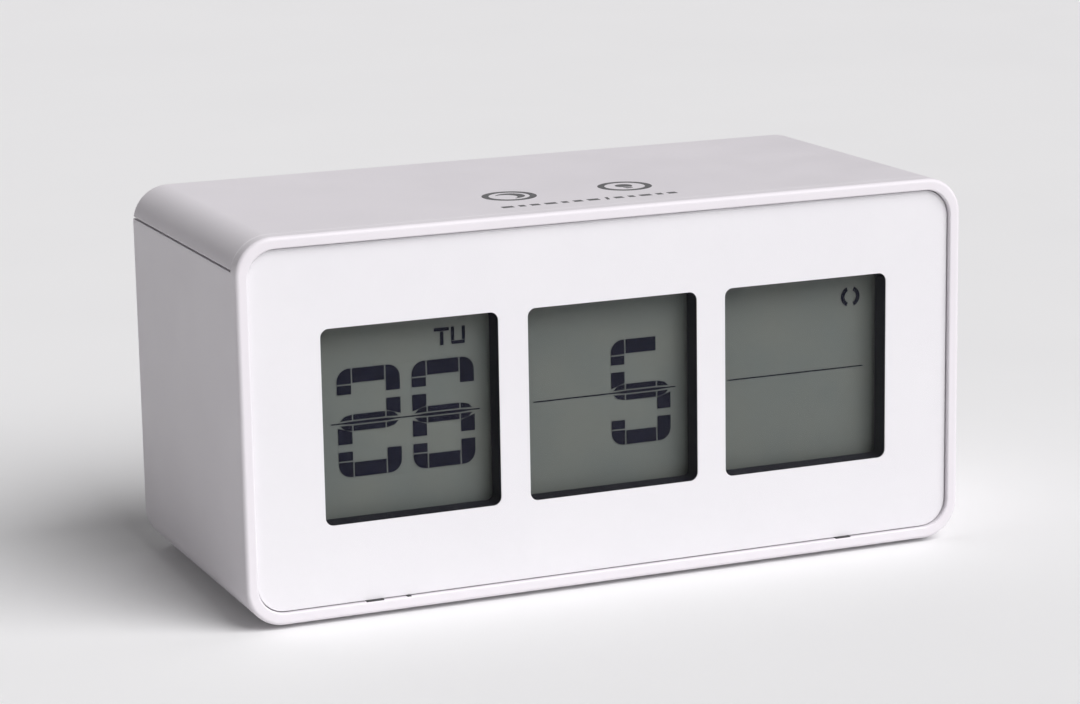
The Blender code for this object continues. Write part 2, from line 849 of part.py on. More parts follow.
def make_wires():
    """Two battery leads and the ribbon from the rear board to the main board."""
    ends = {"positive": (CELL_Z[0], wire_red()), "negative": (CELL_Z[1], wire_black())}
    for name, (z, look) in ends.items():
        curve = bpy.data.curves.new(f"battery_lead_{name}", "CURVE")
        curve.dimensions = "3D"
        curve.bevel_depth = 0.6 * MM
        curve.bevel_resolution = 2
        curve.use_fill_caps = True
        path = curve.splines.new("POLY")
        start = Vector((BAY_HALF_X + 2.5, CELL_Y - 3, z))
        end = Vector((46.0, BOARD_BACK + GAP + 0.4, z + 4))
        steps = 16
        path.points.add(steps)
        for step in range(steps + 1):
            part = step / steps
            point = start.lerp(end, part)
            bulge = math.sin(math.pi * part)
            point.x += 8.0 * bulge
            point.z -= 3.0 * bulge
            path.points[step].co = (*(point * MM), 1)
        thing = new_object(f"battery_lead_{name}", curve, None)
        curve.materials.append(look)
        thing.location = (0, 0, 0)
    start = Vector((0, REAR_BOARD_FRONT - GAP, CONTROL_Z - 3))
    end = Vector((0, BOARD_BACK + GAP, MID_Z + 12))
    steps = 14
    upper = []
    lower = []
    for step in range(steps + 1):
        part = step / steps
        middle = start.lerp(end, part)
        middle.z -= 5.0 * math.sin(math.pi * part)
        upper.append((middle.y, middle.z + 0.25))
        lower.append((middle.y, middle.z - 0.25))
    outline = upper + list(reversed(lower))
    rings = [[(x, y, z) for y, z in outline] for x in (-6.0, 6.0)]
    new_object("ribbon_cable", mesh_from_rings("ribbon_cable", rings), ribbon_grey())


def make_screw(name, place, head_y, head_r, length):
    """Pan-head screw driven towards the front, its head's underside at head_y."""
    profile = [
        (0.9, head_y - length), (1.0, head_y - length + 1), (1.0, head_y), (head_r, head_y),
        (head_r, head_y + 0.8), (head_r - 0.8, head_y + 1.4),
    ]
    turned(name, profile, place, "Y", steel(), sides=16)


def make_screws():
    for side, sign in SIDES.items():
        for level, z in zip(("low", "high"), BACK_SCREW_Z):
            make_screw(
                f"back_screw_{side}_{level}", (sign * BACK_SCREW_X, 0, z), PLATE_BACK + 0.2, 2.3, 9.5
            )
        for level, rise in (("low", -1), ("high", 1)):
            place = (sign * FRAME_SCREW_X, 0, MID_Z + rise * FRAME_SCREW_Z)
            make_screw(f"frame_screw_{side}_{level}", place, FLANGE_FRONT + 2.0 + GAP, 1.9, 5.2)


def main():
    clear_scene()
    make_casing()
    make_feet()
    make_top_cover()
    make_pivot_pins()
    make_front_plate()
    make_display_frame()
    make_displays()
    make_main_board()
    make_rear_controls()
    make_back_cover()
    make_battery_door()
    make_cells()
    make_contact_plates()
    make_wires()
    make_screws()


main()
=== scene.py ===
"""Looks of the desktop calendar alarm clock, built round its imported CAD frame.

Lengths are in millimetres until a mesh is made. +X is the viewer's right, +Y the back, +Z up.
"""

import math

import bmesh
import bpy
from mathutils import Matrix, Vector


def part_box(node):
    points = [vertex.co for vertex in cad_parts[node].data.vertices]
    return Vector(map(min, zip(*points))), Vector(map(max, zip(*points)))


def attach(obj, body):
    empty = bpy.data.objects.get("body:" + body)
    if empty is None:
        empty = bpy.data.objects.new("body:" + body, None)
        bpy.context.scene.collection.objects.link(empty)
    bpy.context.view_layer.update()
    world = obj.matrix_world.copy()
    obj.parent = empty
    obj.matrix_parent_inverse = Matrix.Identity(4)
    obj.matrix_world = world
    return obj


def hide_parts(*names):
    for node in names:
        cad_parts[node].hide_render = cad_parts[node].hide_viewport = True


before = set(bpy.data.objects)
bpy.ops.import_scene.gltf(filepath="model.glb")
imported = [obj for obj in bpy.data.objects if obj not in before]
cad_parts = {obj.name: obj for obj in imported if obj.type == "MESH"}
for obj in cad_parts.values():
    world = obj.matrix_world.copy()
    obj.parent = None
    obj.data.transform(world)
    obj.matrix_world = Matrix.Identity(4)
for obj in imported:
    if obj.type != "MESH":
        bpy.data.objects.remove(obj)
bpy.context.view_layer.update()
MM = 0.001


def span(node):
    """Lowest and highest corner of a CAD node, in millimetres."""
    low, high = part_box(node)
    return low / MM, high / MM


# -------------------- places read from the frame

CASING_LOW, CASING_HIGH = span("casing")
HALF_W = CASING_HIGH.x
FRONT = CASING_LOW.y
BACK = CASING_HIGH.y
BOTTOM = CASING_LOW.z
COVER_LOW, COVER_HIGH = span("top_cover")
TOP = COVER_HIGH.z
HALF_H = (TOP - BOTTOM) / 2
MID_Z = (TOP + BOTTOM) / 2
LENS_LOW, LENS_HIGH = span("front_lens")
PLATE_LOW, PLATE_HIGH = span("back_cover")
DOOR_LOW = span("battery_door")[0]
FRAME_LOW, FRAME_HIGH = span("display_frame")
LCDS = {name: span(f"lcd_{name}") for name in ("left", "middle", "right")}

# Sizes of the fine shapes
CORNER_R = 8.0
EDGE_R = 0.9             # rounding of the front rim's outer edge
RIM = 2.5                # width of the rim around the front plate
SEAT_R = 6.0             # corners of the front plate's seat
WALL = 2.2
RIM_DEPTH = 3.4
COVER_BOTTOM = TOP - 6.6
SIDE_WALL_TOP = COVER_BOTTOM - 0.45
SEAT_LIP_R = 0.35
BACK_EDGE_R = 0.5
COVER_EDGE_R = 0.25
SKIRT_X = (79.2, 80.1)   # hidden skirt inside the parting line
SKIRT_BOTTOM = SIDE_WALL_TOP - 0.15
SKIRT_TOP = 76.9
CLIP_SLOTS = {-54.7: 3.9, -47.2: 1.0, 54.3: 3.7}  # middle: width, along the lower lip
CLIP_SLOT_DEPTH = 1.0
LEDGE_FRONT = FRAME_LOW.y - 0.2
LEDGE_BACK = LEDGE_FRONT + 1.8
FLANGE_FRONT = FRAME_LOW.y + 4.1
PLATE_LOW_FACE = DOOR_LOW.y - 0.5
PLATE_T = 2.4
PIVOT_Y = 30.0
PIVOT_Z = TOP - 4.4
PIVOT_BORE_R = 1.3
EAR_X = (73.6, 76.4)     # casing ears, from the middle outwards
EAR_WEB_X = (76.0, 81.0)
EAR_BOTTOM = 66.0
LUG_X = (69.4, 73.0)     # cover lugs, just inside the ears
LUG_HALF = 2.4
FRONT_BOSS_R = 2.4
BACK_BOSS_R = 4.2
FOOT_R = 5.0
SNOOZE_X = 30.0
SNOOZE_Y = -21.1
FRAME_SCREW_X = 78.0
FRAME_SCREW_Z = {"low": MID_Z - 28.0, "high": MID_Z + 28.0}
BACK_SCREW_X = 76.4
BACK_SCREW_Z = {"low": 8.4, "high": 69.6}
VIEW_W = 37.7            # of a display seen at the end of its tunnel
VIEW_H = 40.4
PRINT_FRONT = LENS_HIGH.y - 0.7
FRAME_FRONT = PRINT_FRONT + 0.24
FRAME_BODY = (74.6, 32.8)    # half width and half height
FRAME_FLANGE = (79.6, 33.4)
PEG_X = 71.0
PEG_END = FRAME_HIGH.y + 2.8
BAY_Z = 28.0
BAY_HALF_X = 29.5
BAY_HALF_Z = 15.3
BAY_FLOOR = 18.0
DOOR_HALF_X = 32.0
DOOR_HALF_Z = 17.7
DOOR_T = 1.6
HINGE_Y = DOOR_LOW.y + DOOR_T / 2
HINGE_Z = BAY_Z + DOOR_HALF_Z - DOOR_T / 2
THUMB_R = (5.2, 6.0)     # thumb notch at its floor and at its rim
CELL_Y = 25.4
CELL_Z = {1: BAY_Z - 7.7, 2: BAY_Z + 7.7}
CONTROL_Z = 60.0
BUTTON_X = {"mode": -21.0, "up": -7.0, "down": 7.0}
CAP_R = 3.5
CAP_FLANGE_R = 4.4
CAP_STEM_R = 1.5
SLIDER_X = 22.5
REAR_POSTS = {"left": -31.5, "right": 33.5}
REAR_BOARD_BACK = 23.6
BUZZER_X = 54.0
BUZZER_Z = 30.0
FOOT_PLACES = [(x, y) for y in (-26.0, 26.0) for x in (-66.0, 66.0)]
WINDOW_W = 38.8
WINDOW_H = 41.2
WINDOW_R = 1.8
WINDOW_Z = (LCDS["middle"][0].z + LCDS["middle"][1].z) / 2
LEDGE_W = 150.4
LEDGE_H = 66.6
PRINT_T = 0.03
PRINT_TILT = 30          # of the moon sign, in degrees
SIGN_R = 5.9             # ring of a sign on the top: outer edge and line
SIGN_LINE = 1.5
SIGN_Y = FRONT + 23.0
MOON_X = -14.1
LAMP_X = 12.8
DASH_Y = FRONT + 10.4
DASH_START = -20.9
DASH_GAP = 1.25
DASH_HALF = 0.9
SIDES = {"left": -1, "right": 1}


# -------------------- materials

def principled(look):
    return look.node_tree.nodes["Principled BSDF"]


def new_material(name, colour, roughness, metallic=0.0, specular=0.5, coat=0.0, coat_rough=0.1):
    look = bpy.data.materials.new(name)
    look.use_nodes = True
    shader = principled(look)
    shader.inputs["Base Color"].default_value = (*colour, 1.0)
    shader.inputs["Roughness"].default_value = roughness
    shader.inputs["Metallic"].default_value = metallic
    shader.inputs["Specular IOR Level"].default_value = specular
    shader.inputs["Coat Weight"].default_value = coat
    shader.inputs["Coat Roughness"].default_value = coat_rough
    return look


def add_node(look, kind, **settings):
    node = look.node_tree.nodes.new(kind)
    for key, value in settings.items():
        setattr(node, key, value)
    return node


def noise(look, scale, detail=3.0, stretch=(1.0, 1.0, 1.0)):
    """Noise in object space, in cycles per metre."""
    links = look.node_tree.links
    place = add_node(look, "ShaderNodeTexCoord")
    mapping = add_node(look, "ShaderNodeMapping")
    mapping.inputs["Scale"].default_value = stretch
    texture = add_node(look, "ShaderNodeTexNoise")
    texture.inputs["Scale"].default_value = scale
    texture.inputs["Detail"].default_value = detail
    links.new(place.outputs["Object"], mapping.inputs["Vector"])
    links.new(mapping.outputs["Vector"], texture.inputs["Vector"])
    return texture.outputs["Fac"]


def remap(look, value, low, high):
    """The middle of a noise, 0.35 to 0.65, spread over low to high."""
    node = add_node(look, "ShaderNodeMapRange")
    node.inputs["From Min"].default_value = 0.35
    node.inputs["From Max"].default_value = 0.65
    node.inputs["To Min"].default_value = low
    node.inputs["To Max"].default_value = high
    look.node_tree.links.new(value, node.inputs["Value"])
    return node.outputs["Result"]


def blend_colours(look, value, first, second):
    node = add_node(look, "ShaderNodeMix", data_type="RGBA")
    node.inputs["A"].default_value = (*first, 1.0)
    node.inputs["B"].default_value = (*second, 1.0)
    look.node_tree.links.new(value, node.inputs["Factor"])
    return node.outputs["Result"]


def set_bump(look, value, strength, depth):
    node = add_node(look, "ShaderNodeBump")
    node.inputs["Strength"].default_value = strength
    node.inputs["Distance"].default_value = depth
    look.node_tree.links.new(value, node.inputs["Height"])
    look.node_tree.links.new(node.outputs["Normal"], principled(look).inputs["Normal"])


def vary(look, first, second, colour_scale, rough_low, rough_high, rough_scale):
    """Colour drifting between two tones, and roughness between two values."""
    shader = principled(look)
    links = look.node_tree.links
    tone = blend_colours(look, remap(look, noise(look, colour_scale), 0.0, 1.0), first, second)
    links.new(tone, shader.inputs["Base Color"])
    links.new(remap(look, noise(look, rough_scale), rough_low, rough_high), shader.inputs["Roughness"])


def moulded_plastic(name, first, second, rough, grain_depth=0.000012, grain_scale=2600.0, specular=0.5):
    """Injection-moulded plastic: faint tone drift, uneven gloss and a fine tool grain."""
    look = new_material(name, first, rough, specular=specular)
    vary(look, first, second, 28.0, rough - 0.04, rough + 0.05, 90.0)
    set_bump(look, noise(look, grain_scale, 2.0), 0.35, grain_depth)
    return look


def white_shell():
    return moulded_plastic("white_abs", (0.822, 0.790, 0.826), (0.802, 0.771, 0.808), 0.42, specular=0.25)


def printed_white():
    """Printed layer behind the clear plate, with a faint unevenness of the ink."""
    look = new_material("white_print", (0.84, 0.83, 0.86), 0.45)
    vary(look, (0.848, 0.835, 0.861), (0.834, 0.821, 0.849), 45.0, 0.42, 0.5, 200.0)
    set_bump(look, noise(look, 5200.0, 2.0), 0.15, 0.000006)
    return look


def clear_plate(name, tint, rough, gloss):
    """Thin clear sheet: see-through, and a little more of a mirror the flatter it is looked at."""
    look = bpy.data.materials.new(name)
    look.use_nodes = True
    tree = look.node_tree
    tree.nodes.clear()
    output = add_node(look, "ShaderNodeOutputMaterial")
    mix = add_node(look, "ShaderNodeMixShader")
    through = add_node(look, "ShaderNodeBsdfTransparent")
    shine = add_node(look, "ShaderNodeBsdfGlossy")
    edge = add_node(look, "ShaderNodeLayerWeight")
    edge.inputs["Blend"].default_value = gloss
    through.inputs["Color"].default_value = (*tint, 1.0)
    tree.links.new(remap(look, noise(look, 120.0), rough, rough + 0.03), shine.inputs["Roughness"])
    tree.links.new(edge.outputs["Facing"], mix.inputs["Fac"])
    tree.links.new(through.outputs["BSDF"], mix.inputs[1])
    tree.links.new(shine.outputs["BSDF"], mix.inputs[2])
    tree.links.new(mix.outputs["Shader"], output.inputs["Surface"])
    return look


def display_reflector():
    """Grey-green reflective rear of the displays, a little uneven."""
    look = new_material("lcd_reflector", (0.150, 0.158, 0.150), 0.42, specular=0.4)
    vary(look, (0.154, 0.161, 0.153), (0.140, 0.151, 0.148), 70.0, 0.38, 0.46, 300.0)
    set_bump(look, noise(look, 9000.0, 1.0), 0.1, 0.000004)
    return look


def segment_ink():
    look = new_material("lcd_segment", (0.012, 0.012, 0.024), 0.5, specular=0.05)
    vary(look, (0.013, 0.013, 0.026), (0.009, 0.009, 0.019), 400.0, 0.45, 0.55, 800.0)
    return look


def black_frame():
    return moulded_plastic("black_frame", (0.007, 0.007, 0.011), (0.012, 0.012, 0.018), 0.62, specular=0.15)


def black_part():
    return moulded_plastic("black_plastic", (0.018, 0.018, 0.020), (0.028, 0.028, 0.030), 0.42)


def print_grey():
    look = new_material("grey_print", (0.12, 0.12, 0.125), 0.5)
    vary(look, (0.125, 0.124, 0.130), (0.105, 0.105, 0.110), 600.0, 0.46, 0.56, 900.0)
    return look


def button_plastic():
    return moulded_plastic("button_grey", (0.40, 0.41, 0.43), (0.36, 0.37, 0.39), 0.42, 0.000016)


def foot_rubber():
    return moulded_plastic("foot_rubber", (0.16, 0.16, 0.17), (0.12, 0.12, 0.13), 0.78, 0.00004, 1500.0, 0.3)


def plated_steel():
    look = new_material("plated_steel", (0.66, 0.66, 0.68), 0.28, 1.0)
    vary(look, (0.68, 0.68, 0.70), (0.58, 0.58, 0.60), 500.0, 0.20, 0.36, 900.0)
    set_bump(look, noise(look, 3000.0, 3.0, (1.0, 6.0, 1.0)), 0.15, 0.00001)
    return look


def circuit_board():
    """Green solder mask over darker copper-free areas."""
    look = new_material("solder_mask", (0.03, 0.17, 0.07), 0.35, coat=0.4, coat_rough=0.2)
    vary(look, (0.020, 0.130, 0.055), (0.045, 0.220, 0.090), 260.0, 0.28, 0.42, 400.0)
    set_bump(look, noise(look, 700.0, 4.0), 0.3, 0.00002)
    return look


def diffuser():
    return moulded_plastic("frosted_diffuser", (0.80, 0.84, 0.86), (0.76, 0.80, 0.83), 0.5, 0.00001)


def lamp_epoxy():
    return moulded_plastic("lamp_epoxy", (0.86, 0.80, 0.42), (0.80, 0.72, 0.34), 0.25, 0.000004)


def wire_skin(name, colour):
    darker = tuple(0.7 * c for c in colour)
    return moulded_plastic(name, colour, darker, 0.45, 0.00001, 1800.0)


def cell_jacket():
    """Dark printed sleeve of a cell under a clear coat."""
    look = new_material("cell_jacket", (0.05, 0.07, 0.13), 0.3, coat=0.6, coat_rough=0.12)
    vary(look, (0.045, 0.060, 0.115), (0.060, 0.080, 0.150), 200.0, 0.24, 0.36, 500.0)
    return look


def cell_band():
    """Copper-coloured foil band of a cell's positive end."""
    look = new_material("cell_band", (0.62, 0.30, 0.12), 0.3, 0.7, coat=0.5, coat_rough=0.12)
    vary(look, (0.64, 0.32, 0.13), (0.54, 0.25, 0.10), 150.0, 0.24, 0.36, 400.0)
    return look


def striped(name, first, second, stripes, rough):
    """Stripes across X, in cycles per metre, with uneven gloss."""
    look = new_material(name, first, rough)
    links = look.node_tree.links
    place = add_node(look, "ShaderNodeTexCoord")
    wave = add_node(look, "ShaderNodeTexWave", wave_type="BANDS", bands_direction="X")
    wave.inputs["Scale"].default_value = stripes
    wave.inputs["Distortion"].default_value = 0.0
    links.new(place.outputs["Object"], wave.inputs["Vector"])
    tone = blend_colours(look, wave.outputs["Fac"], first, second)
    shader = principled(look)
    links.new(tone, shader.inputs["Base Color"])
    links.new(remap(look, noise(look, 400.0), rough - 0.05, rough + 0.05), shader.inputs["Roughness"])
    return look


def zebra_rubber():
    return striped("zebra_rubber", (0.55, 0.55, 0.56), (0.05, 0.05, 0.055), 500.0, 0.7)


def ribbon():
    return striped("grey_ribbon", (0.42, 0.42, 0.44), (0.22, 0.22, 0.24), 125.0, 0.5)


def floor_material():
    look = new_material("studio_floor", (0.87, 0.87, 0.87), 0.75, specular=0.1)
    vary(look, (0.875, 0.875, 0.877), (0.865, 0.865, 0.868), 6.0, 0.7, 0.8, 20.0)
    shader = principled(look)
    shader.inputs["Emission Color"].default_value = (1.0, 1.0, 1.0, 1.0)
    shader.inputs["Emission Strength"].default_value = 0.03
    return look


MATERIALS = {}


def look_of(make, *arguments):
    """Each material is made once."""
    key = (make.__name__, arguments)
    if key not in MATERIALS:
        MATERIALS[key] = make(*arguments)
    return MATERIALS[key]


# -------------------- mesh tools

def outline(half_x, half_z, radius, steps=14):
    """Rounded rectangle about the origin in x and z."""
    points = []
    for corner in range(4):
        sign_x = (1, -1, -1, 1)[corner]
        sign_z = (1, 1, -1, -1)[corner]
        for step in range(steps + 1):
            angle = math.radians(90 * corner + 90 * step / steps)
            x = sign_x * (half_x - radius) + radius * math.cos(angle)
            z = sign_z * (half_z - radius) + radius * math.sin(angle)
            points.append((x, z))
    return points


def add_object(name, data):
    thing = bpy.data.objects.new(name, data)
    bpy.context.scene.collection.objects.link(thing)
    return thing


def object_from(name, build):
    bmesh.ops.recalc_face_normals(build, faces=build.faces)
    mesh = bpy.data.meshes.new(name)
    build.to_mesh(mesh)
    build.free()
    return add_object(name, mesh)


def skin(name, rings, wrap=False):
    """Closed solid through rings of equal point counts: capped, or joined end to start."""
    build = bmesh.new()
    made = [[build.verts.new(Vector(point) * MM) for point in ring] for ring in rings]
    pairs = list(zip(made, made[1:]))
    if wrap:
        pairs.append((made[-1], made[0]))
    for first, second in pairs:
        for i in range(len(first)):
            j = (i + 1) % len(first)
            build.faces.new((first[i], first[j], second[j], second[i]))
    if not wrap:
        build.faces.new(list(reversed(made[0])))
        build.faces.new(made[-1])
    return object_from(name, build)


def along_y(name, stations, centre=(0.0, MID_Z), wrap=False):
    """Solid through (y, outline) stations."""
    rings = [[(centre[0] + x, y, centre[1] + z) for x, z in shape] for y, shape in stations]
    return skin(name, rings, wrap)


def quarter(radius, steps, rising):
    """(inset, depth) pairs of a quarter-round edge, from the face inwards or back out to it."""
    if not radius:
        return [(0.0, 0.0)]
    pairs = []
    for step in range(steps + 1):
        angle = math.radians(90 * step / steps)
        pairs.append((radius * (1 - math.sin(angle)), radius * (1 - math.cos(angle))))
    return pairs if rising else list(reversed(pairs))


def pad(name, half_x, half_z, radius, y0, y1, front_r=0.0, back_r=0.0, centre=(0.0, MID_Z), steps=14,
        edge_steps=4):
    """Rounded rectangle extruded along Y, with quarter-round edges at either end."""
    stations = []
    for inset, depth in quarter(front_r, edge_steps, True):
        stations.append((y0 + depth, outline(half_x - inset, half_z - inset, radius - inset, steps)))
    for inset, depth in quarter(back_r, edge_steps, False):
        stations.append((y1 - depth, outline(half_x - inset, half_z - inset, radius - inset, steps)))
    return along_y(name, stations, centre)


def block(name, low, high):
    """Box between two corners."""
    x0, y0, z0 = low
    x1, y1, z1 = high
    lower = [(x0, y0, z0), (x1, y0, z0), (x1, y1, z0), (x0, y1, z0)]
    return skin(name, [lower, [(x, y, z1) for x, y, _ in lower]])


TURNS = {
    "Z": Matrix(),
    "Y": Matrix.Rotation(-math.pi / 2, 4, "X"),
    "X": Matrix.Rotation(math.pi / 2, 4, "Y"),
}


def turned(name, profile, place, axis="Z", sides=40):
    """Solid turned about an axis through place, from (radius, height) points along it."""
    rings = []
    for radius, height in profile:
        ring = []
        for side in range(sides):
            angle = 2 * math.pi * (side + 0.5) / sides
            point = Vector((radius * math.cos(angle), radius * math.sin(angle), height))
            ring.append(TURNS[axis] @ point + Vector(place))
        rings.append(ring)
    return skin(name, rings)


def drum(name, radius, start, end, place, axis="Z", sides=40):
    """Round bar along an axis through place."""
    return turned(name, [(radius, start), (radius, end)], place, axis, sides)


def shape(target, tools, operation):
    """Cuts the tools from the target, or joins them to it, and keeps the result as its mesh."""
    for tool in tools:
        step = target.modifiers.new(tool.name, "BOOLEAN")
        step.operation = operation
        step.solver = "EXACT"
        step.object = tool
    bpy.context.view_layer.update()
    graph = bpy.context.evaluated_depsgraph_get()
    mesh = bpy.data.meshes.new_from_object(target.evaluated_get(graph))
    target.modifiers.clear()
    old = target.data
    target.data = mesh
    bpy.data.meshes.remove(old)
    for tool in tools:
        bpy.data.objects.remove(tool, do_unlink=True)


def cut(target, *tools):
    shape(target, tools, "DIFFERENCE")


def join(target, *tools):
    shape(target, tools, "UNION")


def finish(thing, look, body, slot, *nodes, bevel=0.0, angle=32.0):
    """Shading, material and place in the frame of a finished piece."""
    thing.data.materials.clear()
    thing.data.materials.append(look)
    thing.data.shade_smooth()
    thing.data.set_sharp_from_angle(angle=math.radians(angle))
    if bevel:
        edge = thing.modifiers.new("edge", "BEVEL")
        edge.width = bevel * MM
        edge.segments = 2
        edge.limit_method = "ANGLE"
        edge.angle_limit = math.radians(angle)
        edge.use_clamp_overlap = True
        edge.miter_outer = "MITER_ARC"
    even = thing.modifiers.new("even_normals", "WEIGHTED_NORMAL")
    even.keep_sharp = True
    even.weight = 90
    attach(thing, body)
    if nodes:
        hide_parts(*nodes)
    return thing


def flat_solid(build, loop, lay, low=0.0, high=PRINT_T):
    """Adds a thin prism over a flat loop. lay turns (u, v, height) into a place."""
    lower = [build.verts.new(Vector(lay(u, v, low)) * MM) for u, v in loop]
    upper = [build.verts.new(Vector(lay(u, v, high)) * MM) for u, v in loop]
    build.faces.new(list(reversed(lower)))
    build.faces.new(upper)
    for i in range(len(loop)):
        j = (i + 1) % len(loop)
        build.faces.new((lower[i], lower[j], upper[j], upper[i]))


def band_solid(build, outer, inner, lay, thick=PRINT_T, closed=True):
    """Adds a thin prism over the band between two lines of equal point counts."""
    grid = []
    for height in (0.0, thick):
        lines = []
        for line in (outer, inner):
            lines.append([build.verts.new(Vector(lay(u, v, height)) * MM) for u, v in line])
        grid.append(lines)
    count = len(outer)
    last = count if closed else count - 1
    for i in range(last):
        j = (i + 1) % count
        (lo_out, lo_in), (hi_out, hi_in) = grid
        build.faces.new((hi_out[i], hi_out[j], hi_in[j], hi_in[i]))
        build.faces.new((lo_out[j], lo_out[i], lo_in[i], lo_in[j]))
        build.faces.new((lo_out[i], lo_out[j], hi_out[j], hi_out[i]))
        build.faces.new((lo_in[j], lo_in[i], hi_in[i], hi_in[j]))
    if not closed:
        for i in (0, count - 1):
            build.faces.new((grid[0][0][i], grid[0][1][i], grid[1][1][i], grid[1][0][i]))


def arc(cx, cy, radius, start, end, steps):
    """Points on an arc, angles in degrees."""
    points = []
    for step in range(steps + 1):
        angle = math.radians(start + (end - start) * step / steps)
        points.append((cx + radius * math.cos(angle), cy + radius * math.sin(angle)))
    return points


def circle(cx, cy, radius, steps):
    return arc(cx, cy, radius, 0, 360, steps)[:-1]


def rectangle(u0, v0, u1, v1):
    return [(u0, v0), (u1, v0), (u1, v1), (u0, v1)]


# -------------------- shell

def shell_stations(front, edge, steps, half_z):
    """(y, outline) stations of the outer skin, from its back edge forwards to its rounded front edge."""
    stations = []
    for inset, depth in quarter(BACK_EDGE_R, 3, True):
        stations.append((BACK - depth, outline(HALF_W - inset, half_z - inset, CORNER_R - inset)))
    for inset, depth in quarter(edge, steps, False):
        stations.append((front + depth, outline(HALF_W - inset, half_z - inset, CORNER_R - inset)))
    return stations


def make_casing():
    """White moulding: rounded front rim, seat and ledge of the front plate, walls, bosses and pivot ears."""
    stations = shell_stations(FRONT, EDGE_R, 8, HALF_H)
    for inset, depth in quarter(SEAT_LIP_R, 4, True):
        reach = RIM - inset
        stations.append((FRONT + depth, outline(HALF_W - reach, HALF_H - reach, SEAT_R + inset)))
    opening = outline(LEDGE_W / 2, LEDGE_H / 2, 3.0)
    inner = outline(HALF_W - WALL, HALF_H - WALL, CORNER_R - WALL)
    stations.append((LEDGE_FRONT, outline(HALF_W - RIM, HALF_H - RIM, SEAT_R)))
    stations.append((LEDGE_FRONT, opening))
    stations.append((LEDGE_BACK, opening))
    stations.append((LEDGE_BACK, inner))
    stations.append((BACK, inner))
    casing = along_y("casing_shell", stations, wrap=True)
    low = (-HALF_W - 5, FRONT + RIM_DEPTH, SIDE_WALL_TOP)
    tools = [block("top_cut", low, (HALF_W + 5, BACK + 5, TOP + 5))]
    lip = BOTTOM + RIM
    for number, (x, width) in enumerate(CLIP_SLOTS.items()):
        low = (x - width / 2, FRONT + 0.35, lip - CLIP_SLOT_DEPTH)
        tools.append(block(f"clip_{number}", low, (x + width / 2, LEDGE_FRONT - 0.5, lip + 1)))
    cut(casing, *tools)
    bosses = []
    holes = [drum("ear_bore", PIVOT_BORE_R, -80, 80, (0, PIVOT_Y, PIVOT_Z), "X")]
    for side, sign in SIDES.items():
        for level, z in FRAME_SCREW_Z.items():
            place = (sign * FRAME_SCREW_X, 0, z)
            start, end = LEDGE_BACK - 1, FLANGE_FRONT - 0.3
            bosses.append(drum(f"boss_front_{side}_{level}", FRONT_BOSS_R, start, end, place, "Y"))
            holes.append(drum(f"bore_front_{side}_{level}", 1.2, LEDGE_FRONT + 0.6, 0, place, "Y"))
        for level, z in BACK_SCREW_Z.items():
            place = (sign * BACK_SCREW_X, 0, z)
            end = PLATE_LOW_FACE - 0.3
            bosses.append(drum(f"boss_back_{side}_{level}", BACK_BOSS_R, 22, end, place, "Y"))
            holes.append(drum(f"bore_back_{side}_{level}", 1.4, 24, BACK, place, "Y"))
        ear = sorted(sign * x for x in EAR_X)
        web = sorted(sign * x for x in EAR_WEB_X)
        for part, (x0, x1), top in (("ear", ear, TOP - WALL - 0.8), ("web", web, SIDE_WALL_TOP - 0.4)):
            low = (x0, PIVOT_Y - 3, EAR_BOTTOM)
            bosses.append(block(f"{part}_{side}", low, (x1, PIVOT_Y + 1.7, top)))
    join(casing, *bosses)
    for number, (x, y) in enumerate(FOOT_PLACES):
        holes.append(drum(f"foot_seat_{number}", FOOT_R + 0.4, BOTTOM - 1, BOTTOM + 0.6, (x, y, 0)))
    cut(casing, *holes)
    finish(casing, look_of(white_shell), "clock_body", "white_plastic", "casing")


def make_top_cover():
    """Snooze cover: rounded upper corners, a hidden skirt, lugs on the pivots and two pressers."""
    front = COVER_LOW.y
    stations = shell_stations(front, COVER_EDGE_R, 3, HALF_H - PRINT_T)
    inner = outline(HALF_W - WALL, HALF_H - WALL, CORNER_R - WALL)
    stations.append((front, inner))
    stations.append((BACK, inner))
    cover = along_y("snooze_cover_shell", stations, wrap=True)
    low = (-HALF_W - 5, front - 5, BOTTOM - 5)
    cut(cover, block("lower_cut", low, (HALF_W + 5, BACK + 5, COVER_BOTTOM)))
    parts = []
    under = TOP - WALL + 0.5
    for side, sign in SIDES.items():
        skirt = sorted(sign * x for x in SKIRT_X)
        lug = sorted(sign * x for x in LUG_X)
        low = (skirt[0], front + 0.6, SKIRT_BOTTOM)
        parts.append(block(f"skirt_{side}", low, (skirt[1], BACK - 2.4, SKIRT_TOP)))
        low = (lug[0], PIVOT_Y - LUG_HALF, PIVOT_Z - LUG_HALF)
        parts.append(block(f"lug_{side}", low, (lug[1], PIVOT_Y + LUG_HALF, under)))
        x = sign * SNOOZE_X
        low = (x - 2.5, SNOOZE_Y - 2.5, TOP - WALL - 1.2)
        parts.append(block(f"presser_{side}", low, (x + 2.5, SNOOZE_Y + 2.5, under)))
    join(cover, *parts)
    cut(cover, drum("lug_bore", PIVOT_BORE_R, -78, 78, (0, PIVOT_Y, PIVOT_Z), "X"))
    finish(cover, look_of(white_shell), "snooze_cover", "white_plastic", "top_cover")


def make_feet():
    """Rubber discs let into the underside."""
    for number, (x, y) in enumerate(FOOT_PLACES, start=1):
        profile = [(4.2, 0.0)]
        for inset, depth in quarter(0.5, 4, True):
            profile.append((FOOT_R - inset, depth))
        profile.append((FOOT_R, 1.3))
        foot = turned(f"rubber_foot_{number}", profile, (x, y, 0))
        finish(foot, look_of(foot_rubber), "clock_body", "grey_rubber", f"foot_{number}")


# -------------------- front plate and displays

